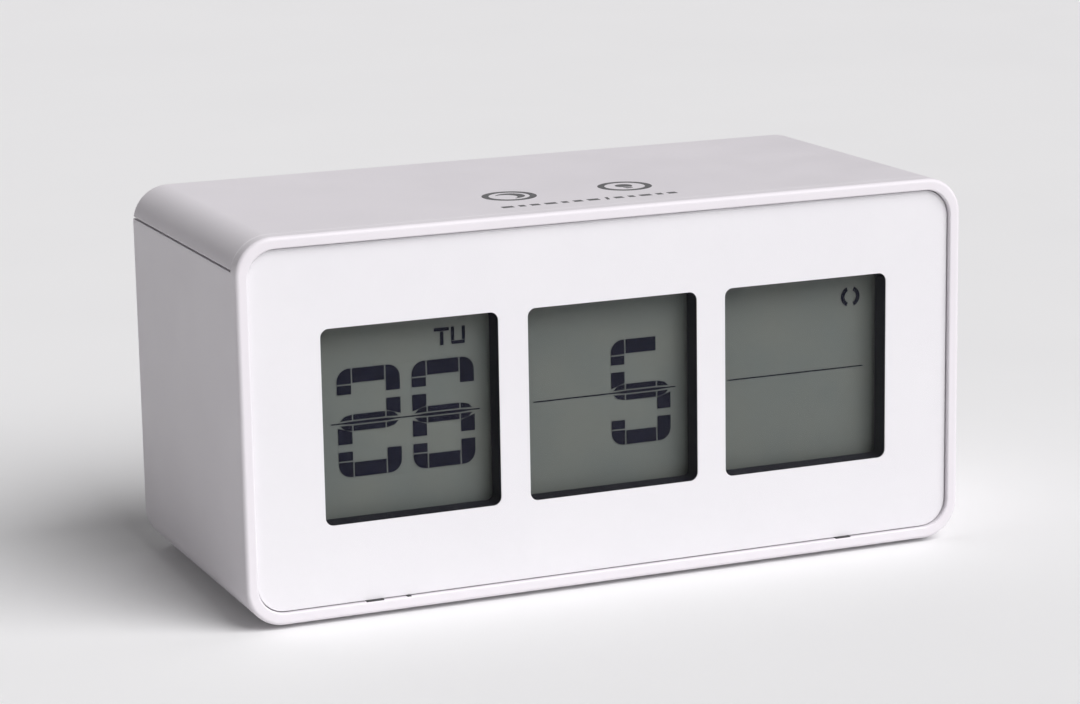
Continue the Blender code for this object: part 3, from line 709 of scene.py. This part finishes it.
def make_front_plate():
    """Clear plate with rounded edges, and the printed layer with three windows behind it."""
    half_x = LENS_HIGH.x
    half_z = (LENS_HIGH.z - LENS_LOW.z) / 2
    radius = SEAT_R - 0.3
    plate = pad("clear_front_plate", half_x, half_z, radius, LENS_LOW.y, PRINT_FRONT - 0.03, 0.6, 0.1)
    finish(plate, look_of(clear_plate, "clear_acrylic", (1.0, 1.0, 1.0), 0.03, 0.02),
           "clock_body", "clear_acrylic", "front_lens")
    mask = pad("printed_front_layer", half_x + 0.05, half_z + 0.05, radius, PRINT_FRONT, PRINT_FRONT + 0.2)
    tools = []
    for name, (low, high) in LCDS.items():
        centre = ((low.x + high.x) / 2, WINDOW_Z)
        start, end = PRINT_FRONT - 1, PRINT_FRONT + 1
        tools.append(pad(f"window_{name}", WINDOW_W / 2, WINDOW_H / 2, WINDOW_R, start, end, centre=centre))
    cut(mask, *tools)
    finish(mask, look_of(printed_white), "clock_body", "white_print", "front_mask")


# Strokes of a digit, from its upper left corner, u to the right and v downwards
DIGIT_W = 13.8
DIGIT_H = 22.9
STROKE = 3.1
CORNER = 2.7
DIGIT_SHIFT = 8.2        # each digit's middle from the window's middle
DISPLAY_SHIFT = {"left": 0.4, "middle": 0.05, "right": 0.0}  # of all that a display shows
DIGIT_AXIS = -0.68       # the middle line of the digits below the window's middle
HAIRLINE = (-16.4, 16.5)     # ends of the line across a display
HAIRLINE_HALF = 0.13
MIDDLE = DIGIT_H / 2


def digit_pieces():
    """Every part that a digit can light: name to loop of (u, v) points."""
    w, h, s = DIGIT_W, DIGIT_H, STROKE
    pieces = {}
    pieces["upper_left_corner"] = arc(CORNER, CORNER, CORNER, 180, 270, 8) + [(s, 0), (s, 3.2), (0, 3.2)]
    pieces["upper_left_serif"] = rectangle(0.0, 3.5, s, 5.4)
    pieces["top_bar"] = rectangle(s + 0.3, 0, w - s - 0.3, 3.05)
    pieces["upper_right_corner"] = (
        [(w - s, 0)] + arc(w - CORNER, CORNER, CORNER, -90, 0, 8) + [(w, 5.4), (w - s, 5.4)]
    )
    pieces["upper_left_block"] = [(0, 7.0), (s, 7.0), (s, MIDDLE - 1.95), (0, MIDDLE - 0.95)]
    pieces["upper_right_block"] = [(w - s, 7.0), (w, 7.0), (w, MIDDLE - 0.95), (w - s, MIDDLE - 1.95)]
    for level, side in (("upper", -1), ("lower", 1)):
        far, near = MIDDLE + side * 1.75, MIDDLE + side * 0.58
        tip, bend = MIDDLE + side * 0.48, MIDDLE + side * 1.35
        pieces[f"middle_{level}_left"] = [(0.5, tip), (1.4, bend), (s, far), (s, near)]
        pieces[f"middle_{level}"] = rectangle(s + 0.3, far, w - s - 0.3, near)
        pieces[f"middle_{level}_right"] = [(w - 0.5, tip), (w - 1.4, bend), (w - s, far), (w - s, near)]
    pieces["middle_core"] = [(-0.6, MIDDLE), (s, MIDDLE - 0.28), (w - s, MIDDLE - 0.28), (w + 0.6, MIDDLE),
                             (w - s, MIDDLE + 0.28), (s, MIDDLE + 0.28)]
    pieces["lower_left_block"] = [(0, MIDDLE + 0.95), (s, MIDDLE + 1.95), (s, h - 7.0), (0, h - 7.0)]
    pieces["lower_right_block"] = [(w - s, MIDDLE + 1.95), (w, MIDDLE + 0.95), (w, h - 7.0), (w - s, h - 7.0)]
    pieces["lower_left_serif"] = rectangle(0.0, h - 5.4, s, h - 3.5)
    turn = arc(CORNER, h - CORNER, CORNER, 90, 180, 8)
    pieces["lower_left_corner"] = [(0, h - 3.2), (s, h - 3.2), (s, h)] + turn
    pieces["bottom_bar"] = rectangle(s + 0.3, h - 3.05, w - s - 0.3, h)
    pieces["lower_right_corner"] = (
        [(w - s, h - 5.4), (w, h - 5.4)] + arc(w - CORNER, h - CORNER, CORNER, 0, 90, 8) + [(w - s, h)]
    )
    return pieces


UNLIT = {
    "2": {"upper_left_block", "lower_right_block"},
    "5": {"upper_right_corner", "upper_right_block", "lower_left_block"},
    "6": {"upper_right_block"},
}


READINGS = {
    "left": [("2", -DIGIT_SHIFT), ("6", DIGIT_SHIFT)],
    "middle": [("5", DIGIT_SHIFT)],
    "right": [],
}


def on_display(x, level):
    """Places (u, v) from a display's middle, u to the right and v upwards. Height is towards the viewer."""
    def lay(u, v, height):
        return (x + u, level - height, WINDOW_Z + v)
    return lay


def add_digit(build, digit, shift, lay):
    """Digits share hairlines: each lit part is its own thin prism."""
    u0 = shift - DIGIT_W / 2
    v0 = DIGIT_AXIS + DIGIT_H / 2
    for name, loop in digit_pieces().items():
        if name not in UNLIT[digit]:
            placed = [(u0 + u, v0 - v) for u, v in loop]
            flat_solid(build, placed, lay, high=SEGMENT_T)


SEGMENT_DEPTH = 0.66     # of the lit segments behind the display's front
SEGMENT_T = 0.04
REFLECTOR_DEPTH = 0.75


def add_weekday(build, lay):
    """Weekday letters, in the display's own thin strokes."""
    stroke = 0.72
    top, bottom = 17.35, 13.65
    foot = bottom + stroke + 0.1
    letters = [
        rectangle(6.6, top, 9.95, top - stroke),
        rectangle(8.0, top - stroke - 0.12, 8.72, bottom),
        rectangle(10.4, top, 10.4 + stroke, foot),
        rectangle(12.8, top, 12.8 + stroke, foot),
        [(10.55, bottom), (13.37, bottom), (13.52, bottom + stroke), (10.4, bottom + stroke)],
    ]
    for loop in letters:
        flat_solid(build, loop, lay, high=SEGMENT_T)


def add_ring_sign(build, lay):
    """Broken ring of two arcs, open at top and bottom."""
    for start in (-66, 114):
        outer = arc(13.35, 15.0, 2.3, start, start + 132, 14)
        inner = arc(13.35, 15.0, 1.4, start, start + 132, 14)
        band_solid(build, outer, inner, lay, SEGMENT_T, closed=False)


def make_displays():
    """Reflector, lit segments and front glass of each display."""
    for name, (low, high) in LCDS.items():
        x = (low.x + high.x) / 2
        half_x = (high.x - low.x) / 2
        half_z = (high.z - low.z) / 2
        centre = (x, WINDOW_Z)
        start = low.y + REFLECTOR_DEPTH
        rear = pad(f"lcd_rear_{name}", half_x, half_z, 0.5, start, high.y, 0.1, 0.1, centre, 4, 2)
        finish(rear, look_of(display_reflector), "clock_body", "lcd_glass", f"lcd_{name}")
        build = bmesh.new()
        lay = on_display(x + DISPLAY_SHIFT[name], low.y + SEGMENT_DEPTH)
        for digit, shift in READINGS[name]:
            add_digit(build, digit, shift + 0.2, lay)
        line = rectangle(HAIRLINE[0], DIGIT_AXIS - HAIRLINE_HALF, HAIRLINE[1], DIGIT_AXIS + HAIRLINE_HALF)
        flat_solid(build, line, lay, -SEGMENT_T - 0.01, -0.01)
        if name == "left":
            add_weekday(build, lay)
        if name == "right":
            add_ring_sign(build, lay)
        segments = object_from(f"lcd_segments_{name}", build)
        finish(segments, look_of(segment_ink), "clock_body", "lcd_glass")
        glass = pad(f"lcd_glass_{name}", half_x, half_z, 0.5, low.y, low.y + 0.25, 0.08, 0.05, centre, 4, 2)
        clear = look_of(clear_plate, "display_glass", (0.97, 0.98, 0.97), 0.10, 0.004)
        finish(glass, clear, "clock_body", "lcd_glass")


# -------------------- print on the top cover

def on_top(x, y):
    """Places (u, v) from a point of the top face, u to the right and v to the back."""
    def lay(u, v, height):
        return (x + u, y + v, TOP - 1.3 * PRINT_T + height)
    return lay


def make_top_print():
    """Two round signs, a moon and a lamp, and a row of plain dashes in place of the function words."""
    build = bmesh.new()
    moon = on_top(MOON_X, SIGN_Y)
    lamp = on_top(LAMP_X, SIGN_Y)
    for lay in (moon, lamp):
        band_solid(build, circle(0, 0, SIGN_R, 48), circle(0, 0, SIGN_R - SIGN_LINE, 48), lay)
    outer = arc(0.2, 0, 3.2, PRINT_TILT - 118, PRINT_TILT + 118, 24)
    inner = arc(-1.2, -0.8, 2.6, PRINT_TILT - 92, PRINT_TILT + 92, 24)
    band_solid(build, outer, inner, moon, closed=False)
    flat_solid(build, arc(0, 0.6, 1.9, -50, 230, 20), lamp)
    flat_solid(build, rectangle(-1.0, -1.3, 1.0, -1.9), lamp)
    flat_solid(build, rectangle(-0.8, -2.2, 0.8, -2.8), lamp)
    lay = on_top(0, DASH_Y)
    x = DASH_START
    for group, widths in ((1, [2.6, 1.4, 2.0, 2.6, 1.4, 2.0, 2.6]), (2, [2.0, 1.4, 2.6, 1.4, 2.0])):
        for width in widths:
            flat_solid(build, rectangle(x, -DASH_HALF, x + width, DASH_HALF), lay)
            x += width + DASH_GAP
        if group == 1:
            flat_solid(build, [(x, -1.4), (x + 0.7, -1.4), (x + 1.3, 1.4), (x + 0.6, 1.4)], lay)
            x += 2.3
    signs = object_from("top_print", build)
    finish(signs, look_of(print_grey), "snooze_cover", "button_grey")


# -------------------- black frame, and black blocks of painted shade in the lip's slots

def make_display_frame():
    """Black frame with three tapered window tunnels, display pockets, flange, screw holes and pegs."""
    front, back = FRAME_LOW.y, FRAME_HIGH.y
    lcd_front = LCDS["middle"][0].y
    body = pad("black_display_frame", *FRAME_BODY, 2.6, FRAME_FRONT, back, 0, 0.2, steps=8)
    join(body, pad("flange", *FRAME_FLANGE, 2.0, FLANGE_FRONT, FLANGE_FRONT + 2, steps=8))
    tools = []
    for name, (low, high) in LCDS.items():
        centre = ((low.x + high.x) / 2, WINDOW_Z)
        mouth = outline(WINDOW_W / 2 + 0.1, WINDOW_H / 2 + 0.1, WINDOW_R)
        throat = outline(VIEW_W / 2, VIEW_H / 2, WINDOW_R - 0.5)
        tunnel = [(FRAME_FRONT - 1, mouth), (front, mouth), (lcd_front, throat)]
        tools.append(along_y(f"tunnel_{name}", tunnel, centre))
        half_x = (high.x - low.x) / 2 + 0.3
        half_z = (high.z - low.z) / 2 + 0.3
        start, end = lcd_front - 0.3, high.y + 0.4
        tools.append(pad(f"pocket_{name}", half_x, half_z, 0.6, start, end, centre=centre, steps=3))
    reach = LCDS["right"][1].x + 0.3
    half_z = (LCDS["right"][1].z - LCDS["right"][0].z) / 2 + 0.3
    lcd_back = LCDS["middle"][1].y
    start, end = lcd_back + 0.2, back + 1
    tools.append(pad("light_box", reach, half_z, 0.6, start, end, centre=(0, WINDOW_Z), steps=3))
    pegs = []
    for side, sign in SIDES.items():
        for level, z in FRAME_SCREW_Z.items():
            tools.append(drum(f"bore_{side}_{level}", 1.3, front, back, (sign * FRAME_SCREW_X, 0, z), "Y"))
            pegs.append(drum(f"peg_{side}_{level}", 1.2, back - 1, PEG_END, (sign * PEG_X, 0, z), "Y", 24))
    cut(body, *tools)
    join(body, *pegs)
    finish(body, look_of(black_frame), "clock_body", "black_plastic", "display_frame")


def make_slot_shade_blocks():
    """Black blocks in the slots of the lower lip: painted shade, dark in place of the shadow deep inside the
    slots.
    """
    lip = BOTTOM + RIM
    for number, (x, width) in enumerate(CLIP_SLOTS.items(), start=1):
        low = (x - width / 2 + 0.1, FRONT + 0.45, lip - CLIP_SLOT_DEPTH + 0.1)
        # each block is painted shade: black standing in for the shadow of its slot
        slot_block = block(f"slot_shade_block_{number}", low, (x + width / 2 - 0.1, LEDGE_FRONT - 0.6, lip + 0.18))
        finish(slot_block, look_of(black_part), "clock_body", "black_plastic", bevel=0.08)


# -------------------- back

def make_back_cover():
    """Back plate with rounded edge, battery bay, button holes, slider slot, sound holes and screw holes."""
    low, high = PLATE_LOW, PLATE_HIGH
    face = PLATE_LOW_FACE + PLATE_T
    centre = (0.0, (low.z + high.z) / 2)
    half_z = (high.z - low.z) / 2
    plate = pad("back_plate", high.x, half_z, CORNER_R - WALL - 0.4, PLATE_LOW_FACE, face, 0, 0.45, centre)
    bay = (0.0, BAY_Z)
    start, end = PLATE_LOW_FACE - 1.3, PLATE_LOW_FACE + 0.5
    parts = [
        pad("bay_flange", DOOR_HALF_X + 2, DOOR_HALF_Z + 2, 2.0, start, end, centre=bay),
        pad("bay_tub", BAY_HALF_X + 1.5, BAY_HALF_Z + 1.5, 2.0, BAY_FLOOR - 1.5, PLATE_LOW_FACE, centre=bay),
    ]
    for side, x in REAR_POSTS.items():
        board = REAR_BOARD_BACK
        post = [(1.4, board - 2.4), (1.4, board + 0.3), (2.6, board + 0.3), (2.6, PLATE_LOW_FACE + 0.5)]
        parts.append(turned(f"post_{side}", post, (x, 0, CONTROL_Z), "Y", 24))
    join(plate, *parts)
    seat = DOOR_LOW.y - 0.3
    floor_r, rim_r = THUMB_R
    notch = [(floor_r, PLATE_LOW_FACE + 0.9), (rim_r, PLATE_LOW_FACE + 1.5), (rim_r, BACK)]
    tools = [
        pad("bay", BAY_HALF_X, BAY_HALF_Z, 1.0, BAY_FLOOR, BACK, centre=bay),
        pad("door_seat", DOOR_HALF_X + 0.3, DOOR_HALF_Z + 0.3, 0.4, seat, BACK, centre=bay, steps=2),
        turned("thumb", notch, (0, 0, BAY_Z - DOOR_HALF_Z - 0.5), "Y", 64),
        drum("pivot_holes", 0.8, -DOOR_HALF_X - 2, DOOR_HALF_X + 2, (0, HINGE_Y, HINGE_Z), "X", 24),
    ]
    for name, x in BUTTON_X.items():
        hole = CAP_R + 0.3
        rim = [(hole, PLATE_LOW_FACE - 1), (hole, face - 0.3), (hole + 0.3, face), (hole + 0.3, BACK)]
        tools.append(turned(f"hole_{name}", rim, (x, 0, CONTROL_Z), "Y", 48))
    for side, sign in SIDES.items():
        for level, z in BACK_SCREW_Z.items():
            place = (sign * BACK_SCREW_X, 0, z)
            tools.append(drum(f"screw_{side}_{level}", 1.5, PLATE_LOW_FACE - 1, BACK, place, "Y", 24))
    slot = (SLIDER_X, CONTROL_Z)
    tools.append(pad("slider_slot", 4.1, 1.9, 0.4, PLATE_LOW_FACE - 1, BACK, centre=slot, steps=3))
    for number in range(7):
        angle = math.radians(60 * number)
        reach = 3.6 if number < 6 else 0.0
        place = (BUZZER_X + reach * math.cos(angle), 0, BUZZER_Z + reach * math.sin(angle))
        tools.append(drum(f"sound_{number}", 0.8, PLATE_LOW_FACE - 1, BACK, place, "Y", 20))
    cut(plate, *tools)
    finish(plate, look_of(white_shell), "clock_body", "white_plastic", "back_cover")


def make_battery_door():
    """Door with a half-round hinge edge, two pivots, a thumb notch and grip ribs."""
    front = DOOR_LOW.y
    rear = front + DOOR_T
    bottom = BAY_Z - DOOR_HALF_Z
    half_z = (HINGE_Z - bottom) / 2
    middle = (0.0, bottom + half_z)
    door = pad("battery_door_panel", DOOR_HALF_X, half_z, 0.35, front, rear, 0, 0.2, middle, steps=3)
    parts = [
        drum("hinge_edge", DOOR_T / 2, -DOOR_HALF_X, DOOR_HALF_X, (0, HINGE_Y, HINGE_Z), "X", 32),
        drum("pivots", 0.5, -DOOR_HALF_X - 1.6, DOOR_HALF_X + 1.6, (0, HINGE_Y, HINGE_Z), "X", 20),
    ]
    for number in range(5):
        rib = (0.0, bottom + 5.6 + 1.5 * number)
        half = 6.0 - 0.9 * number
        parts.append(pad(f"rib_{number}", half, 0.35, 0.3, front + 1.2, rear + 0.3, 0, 0.15, rib, steps=4))
    join(door, *parts)
    floor_r, rim_r = THUMB_R
    notch = [(floor_r, HINGE_Y - 3), (floor_r, front + 0.7), (rim_r, front + 1.3), (rim_r, BACK)]
    cut(door, turned("thumb_notch", notch, (0, 0, bottom - 2.5), "Y", 64))
    finish(door, look_of(white_shell), "battery_lid", "white_plastic", "battery_door")


def make_buttons():
    """Three press buttons with rounded, slightly dished caps on their stems."""
    for name, x in BUTTON_X.items():
        low, high = span(f"{name}_button")
        inner = PLATE_LOW_FACE - 1.3
        outer = PLATE_LOW_FACE - 0.3
        profile = [(CAP_STEM_R, low.y), (CAP_STEM_R, inner), (CAP_FLANGE_R, inner), (CAP_FLANGE_R, outer)]
        profile.append((CAP_R, outer))
        for inset, depth in quarter(0.5, 5, False):
            profile.append((CAP_R - inset, high.y - depth))
        profile += [(2.6, high.y - 0.03), (1.6, high.y - 0.14), (0.5, high.y - 0.2)]
        button = turned(f"{name}_key_cap", profile, (x, 0, CONTROL_Z), "Y", 48)
        finish(button, look_of(button_plastic), f"{name}_key", "button_grey", f"{name}_button")


def make_slider():
    """Alarm slider: ribbed knob on its stem."""
    low, high = span("alarm_slider")
    x = (low.x + high.x) / 2
    head = PLATE_LOW_FACE - 1.5
    stem_end = (x + 1.2, PLATE_LOW_FACE, CONTROL_Z + 0.9)
    knob = block("alarm_slider_knob", (x - 1.2, low.y, CONTROL_Z - 0.9), stem_end)
    join(knob, pad("head", 2.0, 1.5, 0.3, head, high.y, 0, 0.2, (x, CONTROL_Z), 4))
    grooves = []
    for number in range(4):
        groove_x = x - 1.2 + 0.8 * number
        low_corner = (groove_x - 0.15, high.y - 0.35, CONTROL_Z - 2)
        grooves.append(block(f"groove_{number}", low_corner, (groove_x + 0.15, BACK, CONTROL_Z + 2)))
    cut(knob, *grooves)
    finish(knob, look_of(button_plastic), "alarm_slide", "button_grey", "alarm_slider")


def on_back(x, z):
    """Places (u, v) on the back plate, u to the right as seen from behind, v upwards."""
    def lay(u, v, height):
        return (x - u, PLATE_LOW_FACE + PLATE_T - 0.01 + height, z + v)
    return lay


def make_back_print():
    """Plain signs by the controls: ring arrow, up, down, and the alarm's off and on ends."""
    build = bmesh.new()
    level = CONTROL_Z + 7.4
    lay = on_back(BUTTON_X["mode"], level)
    band_solid(build, arc(0, 0, 1.5, 60, 380, 24), arc(0, 0, 1.1, 60, 380, 24), lay, closed=False)
    flat_solid(build, [(0.75, 1.9), (0.75, 0.6), (1.9, 1.3)], lay)
    flat_solid(build, [(-1.3, -0.9), (1.3, -0.9), (0, 1.3)], on_back(BUTTON_X["up"], level))
    flat_solid(build, [(0, -1.3), (1.3, 0.9), (-1.3, 0.9)], on_back(BUTTON_X["down"], level))
    lay = on_back(SLIDER_X, level)
    bell = arc(0, 0.3, 1.15, 0, 180, 12) + [(-1.15, -0.7), (-1.7, -1.2), (1.7, -1.2), (1.15, -0.7)]
    flat_solid(build, bell, lay)
    flat_solid(build, arc(0, -1.6, 0.4, 180, 360, 8), lay)
    lay = on_back(SLIDER_X, CONTROL_Z - 4.4)
    band_solid(build, circle(2.6, 0, 0.8, 24), circle(2.6, 0, 0.5, 24), lay)
    flat_solid(build, rectangle(-2.75, -0.8, -2.45, 0.8), lay)
    signs = object_from("back_print", build)
    finish(signs, look_of(print_grey), "clock_body", "button_grey")


def make_screws():
    """Four screws through the back cover and four in the display frame."""
    for side in SIDES:
        for level in ("low", "high"):
            make_screw(f"back_screw_{side}_{level}", 2.3, 1.0)
            make_screw(f"frame_screw_{side}_{level}", 1.9, 0.8)


def make_screw(node, head_r, recess):
    """Screw with a grooved shank, a domed head and a cross recess."""
    low, high = span(node)
    place = ((low.x + high.x) / 2, 0, (low.z + high.z) / 2)
    head = high.y - 1.4
    profile = [(0.4, low.y), (1.0, low.y + 1.2)]
    pitch = 0.7
    turns = int((head - low.y - 2.0) / pitch)
    for number in range(turns):
        start = low.y + 1.2 + pitch * number
        profile += [(0.8, start + 0.2), (1.0, start + 0.35), (1.0, start + 0.45), (0.8, start + 0.6)]
    profile += [(1.0, head), (head_r, head), (head_r, head + 0.5)]
    for step in range(1, 6):
        angle = math.radians(90 * step / 6)
        profile.append((head_r * math.cos(angle) ** 0.5, head + 0.5 + 0.9 * math.sin(angle)))
    screw = turned(f"{node}_steel", profile, place, "Y", 32)
    x, z = place[0], place[2]
    depth = high.y - 0.75
    cross = [
        block("slot_a", (x - recess, depth, z - 0.22), (x + recess, high.y + 1, z + 0.22)),
        block("slot_b", (x - 0.22, depth, z - recess), (x + 0.22, high.y + 1, z + recess)),
    ]
    cut(screw, *cross)
    finish(screw, look_of(plated_steel), "clock_body", "steel", node)


# -------------------- cells, springs and the parts inside

def make_cells():
    """Cells in a printed sleeve with a coloured band, steel caps and a raised positive end."""
    for number, sign in ((1, 1), (2, -1)):
        low, high = span(f"cell_{number}")
        radius = (high.y - low.y) / 2
        centre = ((low.x + high.x) / 2 - sign * 0.6, (low.y + high.y) / 2, (low.z + high.z) / 2)
        half = (high.x - low.x) / 2 - 0.6
        rest = radius - 0.5

        def ring(values):
            return [(r, sign * h) for r, h in values][::sign]

        sleeve = turned(f"cell_{number}_sleeve", ring([
            (rest, -half + 0.15), (radius - 0.1, -half + 0.25), (radius, -half + 0.6),
            (radius, 8.0), (rest, 8.0),
        ]), centre, "X", 48)
        finish(sleeve, look_of(cell_jacket), "clock_body", "cell_jacket", f"cell_{number}")
        band = turned(f"cell_{number}_band", ring([
            (rest, 8.02), (radius, 8.02),
            (radius, half - 0.6), (radius - 0.1, half - 0.25), (rest, half - 0.15),
        ]), centre, "X", 48)
        finish(band, look_of(cell_band), "clock_body", "cell_jacket")
        core = turned(f"cell_{number}_can", ring([
            (rest - 0.1, -half), (rest - 0.05, half), (2.9, half), (2.7, half + 0.3), (2.7, half + 1.0),
            (2.4, half + 1.2),
        ]), centre, "X", 48)
        finish(core, look_of(plated_steel), "clock_body", "steel")


def tube(name, points, radius, sides=10):
    """Round wire along a line of points, with flat ends."""
    rings = []
    side = Vector((0, 0, 1))
    for number, point in enumerate(points):
        ahead = points[min(number + 1, len(points) - 1)]
        behind = points[max(number - 1, 0)]
        along = (Vector(ahead) - Vector(behind)).normalized()
        side = (side - along * side.dot(along)).normalized()
        other = along.cross(side)
        ring = []
        for step in range(sides):
            angle = 2 * math.pi * step / sides
            ring.append(Vector(point) + radius * (math.cos(angle) * side + math.sin(angle) * other))
        rings.append(ring)
    return skin(name, rings)


def make_contact_springs():
    """Conical springs, widest at the contact plate."""
    steps = 90
    for number in (1, 2):
        node = f"contact_spring_{number}"
        low, high = span(node)
        sign = 1 if low.x > 0 else -1
        start = (high.x if sign > 0 else low.x) - sign * 0.36
        end = (low.x if sign > 0 else high.x) + sign * 0.36
        z = CELL_Z[number]
        points = []
        for step in range(steps + 1):
            part = step / steps
            angle = 2 * math.pi * 2.5 * part
            radius = 4.2 - 1.2 * part
            x = start + (end - start) * part
            points.append((x, CELL_Y + radius * math.cos(angle), z + radius * math.sin(angle)))
        spring = tube(f"{node}_wire", points, 0.34)
        finish(spring, look_of(plated_steel), "clock_body", "steel", node, angle=60)


def paint(look, *nodes, edge=0.0):
    """CAD nodes whose shape is right keep it, with softened edges, and take a finished material."""
    for name in nodes:
        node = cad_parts[name]
        node.data.materials.clear()
        node.data.materials.append(look)
        if edge:
            weld = node.modifiers.new("weld", "WELD")
            weld.merge_threshold = 0.000005
            soft = node.modifiers.new("edge", "BEVEL")
            soft.width = edge * MM
            soft.segments = 2
            soft.limit_method = "ANGLE"
            soft.angle_limit = math.radians(40)


def paint_inner_parts():
    steel = look_of(plated_steel)
    paint(look_of(circuit_board), "main_board", "rear_board")
    paint(look_of(diffuser), "light_diffuser", edge=0.2)
    paint(look_of(lamp_epoxy), "backlight_left", "backlight_right", edge=0.15)
    paint(look_of(zebra_rubber), "connector_left", "connector_middle", "connector_right", edge=0.15)
    paint(look_of(black_part), "controller_chip", "alarm_switch", "buzzer", edge=0.12)
    for side in SIDES:
        paint(look_of(black_part), f"snooze_switch_{side}", f"snooze_plunger_{side}", edge=0.12)
        paint(steel, f"pivot_pin_{side}", edge=0.1)
    for name in BUTTON_X:
        paint(look_of(black_part), f"{name}_switch", edge=0.12)
        paint(look_of(button_plastic), f"{name}_switch_plunger", edge=0.1)
    paint(steel, "crystal", "contact_bridge", "contact_positive", "contact_negative", edge=0.06)
    paint(look_of(wire_skin, "red_wire", (0.52, 0.025, 0.02)), "battery_lead_positive")
    paint(look_of(wire_skin, "black_wire", (0.02, 0.02, 0.022)), "battery_lead_negative")
    paint(look_of(ribbon), "ribbon_cable")


# -------------------- camera, light and floor

CAMERA_LENS = 107.69
CAMERA_AZIMUTH = math.radians(-22.689)
CAMERA_ELEVATION = math.radians(12.353)
CAMERA_ROLL = math.radians(-0.968)
CAMERA_DISTANCE = 712.61
CAMERA_SIDEWAYS = 1.66
CAMERA_RISE = 2.16


def make_camera():
    back = Vector((
        math.sin(CAMERA_AZIMUTH) * math.cos(CAMERA_ELEVATION),
        -math.cos(CAMERA_AZIMUTH) * math.cos(CAMERA_ELEVATION),
        math.sin(CAMERA_ELEVATION),
    ))
    level_right = (-back).cross(Vector((0, 0, 1))).normalized()
    level_up = level_right.cross(-back)
    right = math.cos(CAMERA_ROLL) * level_right + math.sin(CAMERA_ROLL) * level_up
    up = -math.sin(CAMERA_ROLL) * level_right + math.cos(CAMERA_ROLL) * level_up
    place = Vector((0, 0, MID_Z)) + back * CAMERA_DISTANCE - right * CAMERA_SIDEWAYS + up * CAMERA_RISE
    data = bpy.data.cameras.new("camera")
    data.lens = CAMERA_LENS
    data.sensor_width = 36.0
    data.clip_start = 0.01
    data.clip_end = 20.0
    camera = add_object("camera", data)
    turn = Matrix((right, up, back)).transposed().to_4x4()
    camera.matrix_world = Matrix.Translation(place * MM) @ turn
    bpy.context.scene.camera = camera


def make_sun(name, azimuth, elevation, softness, strength, colour):
    """Distant soft lamp. Azimuth is measured to the right of the front, in degrees."""
    data = bpy.data.lights.new(name, "SUN")
    data.energy = strength
    data.angle = math.radians(softness)
    data.color = colour
    lamp = add_object(name, data)
    turn = math.radians(azimuth)
    rise = math.radians(elevation)
    toward = Vector((math.sin(turn) * math.cos(rise), -math.cos(turn) * math.cos(rise), math.sin(rise)))
    lamp.rotation_euler = toward.to_track_quat("Z", "Y").to_euler()
    lamp.location = toward * 2


def make_studio():
    world = bpy.data.worlds.new("studio")
    bpy.context.scene.world = world
    world.use_nodes = True
    background = world.node_tree.nodes["Background"]
    background.inputs["Color"].default_value = (1.0, 0.98, 1.0, 1.0)
    background.inputs["Strength"].default_value = 0.07
    make_sun("key", 31, 45, 50, 3.28, (1.0, 0.99, 1.0))
    make_sun("rear_fill", 176, 34, 60, 0.35, (1.0, 1.0, 1.0))
    floor = block("floor", (-4000, -4000, -20), (4000, 4000, 0))
    floor.data.materials.append(floor_material())
    bpy.context.scene.view_settings.view_transform = "Standard"


# -------------------- the clock

make_camera()
make_studio()
make_casing()
make_top_cover()
make_feet()
make_front_plate()
make_displays()
make_top_print()
make_display_frame()
make_slot_shade_blocks()
make_back_cover()
make_battery_door()
make_buttons()
make_slider()
make_back_print()
make_screws()
make_cells()
make_contact_springs()
paint_inner_parts()
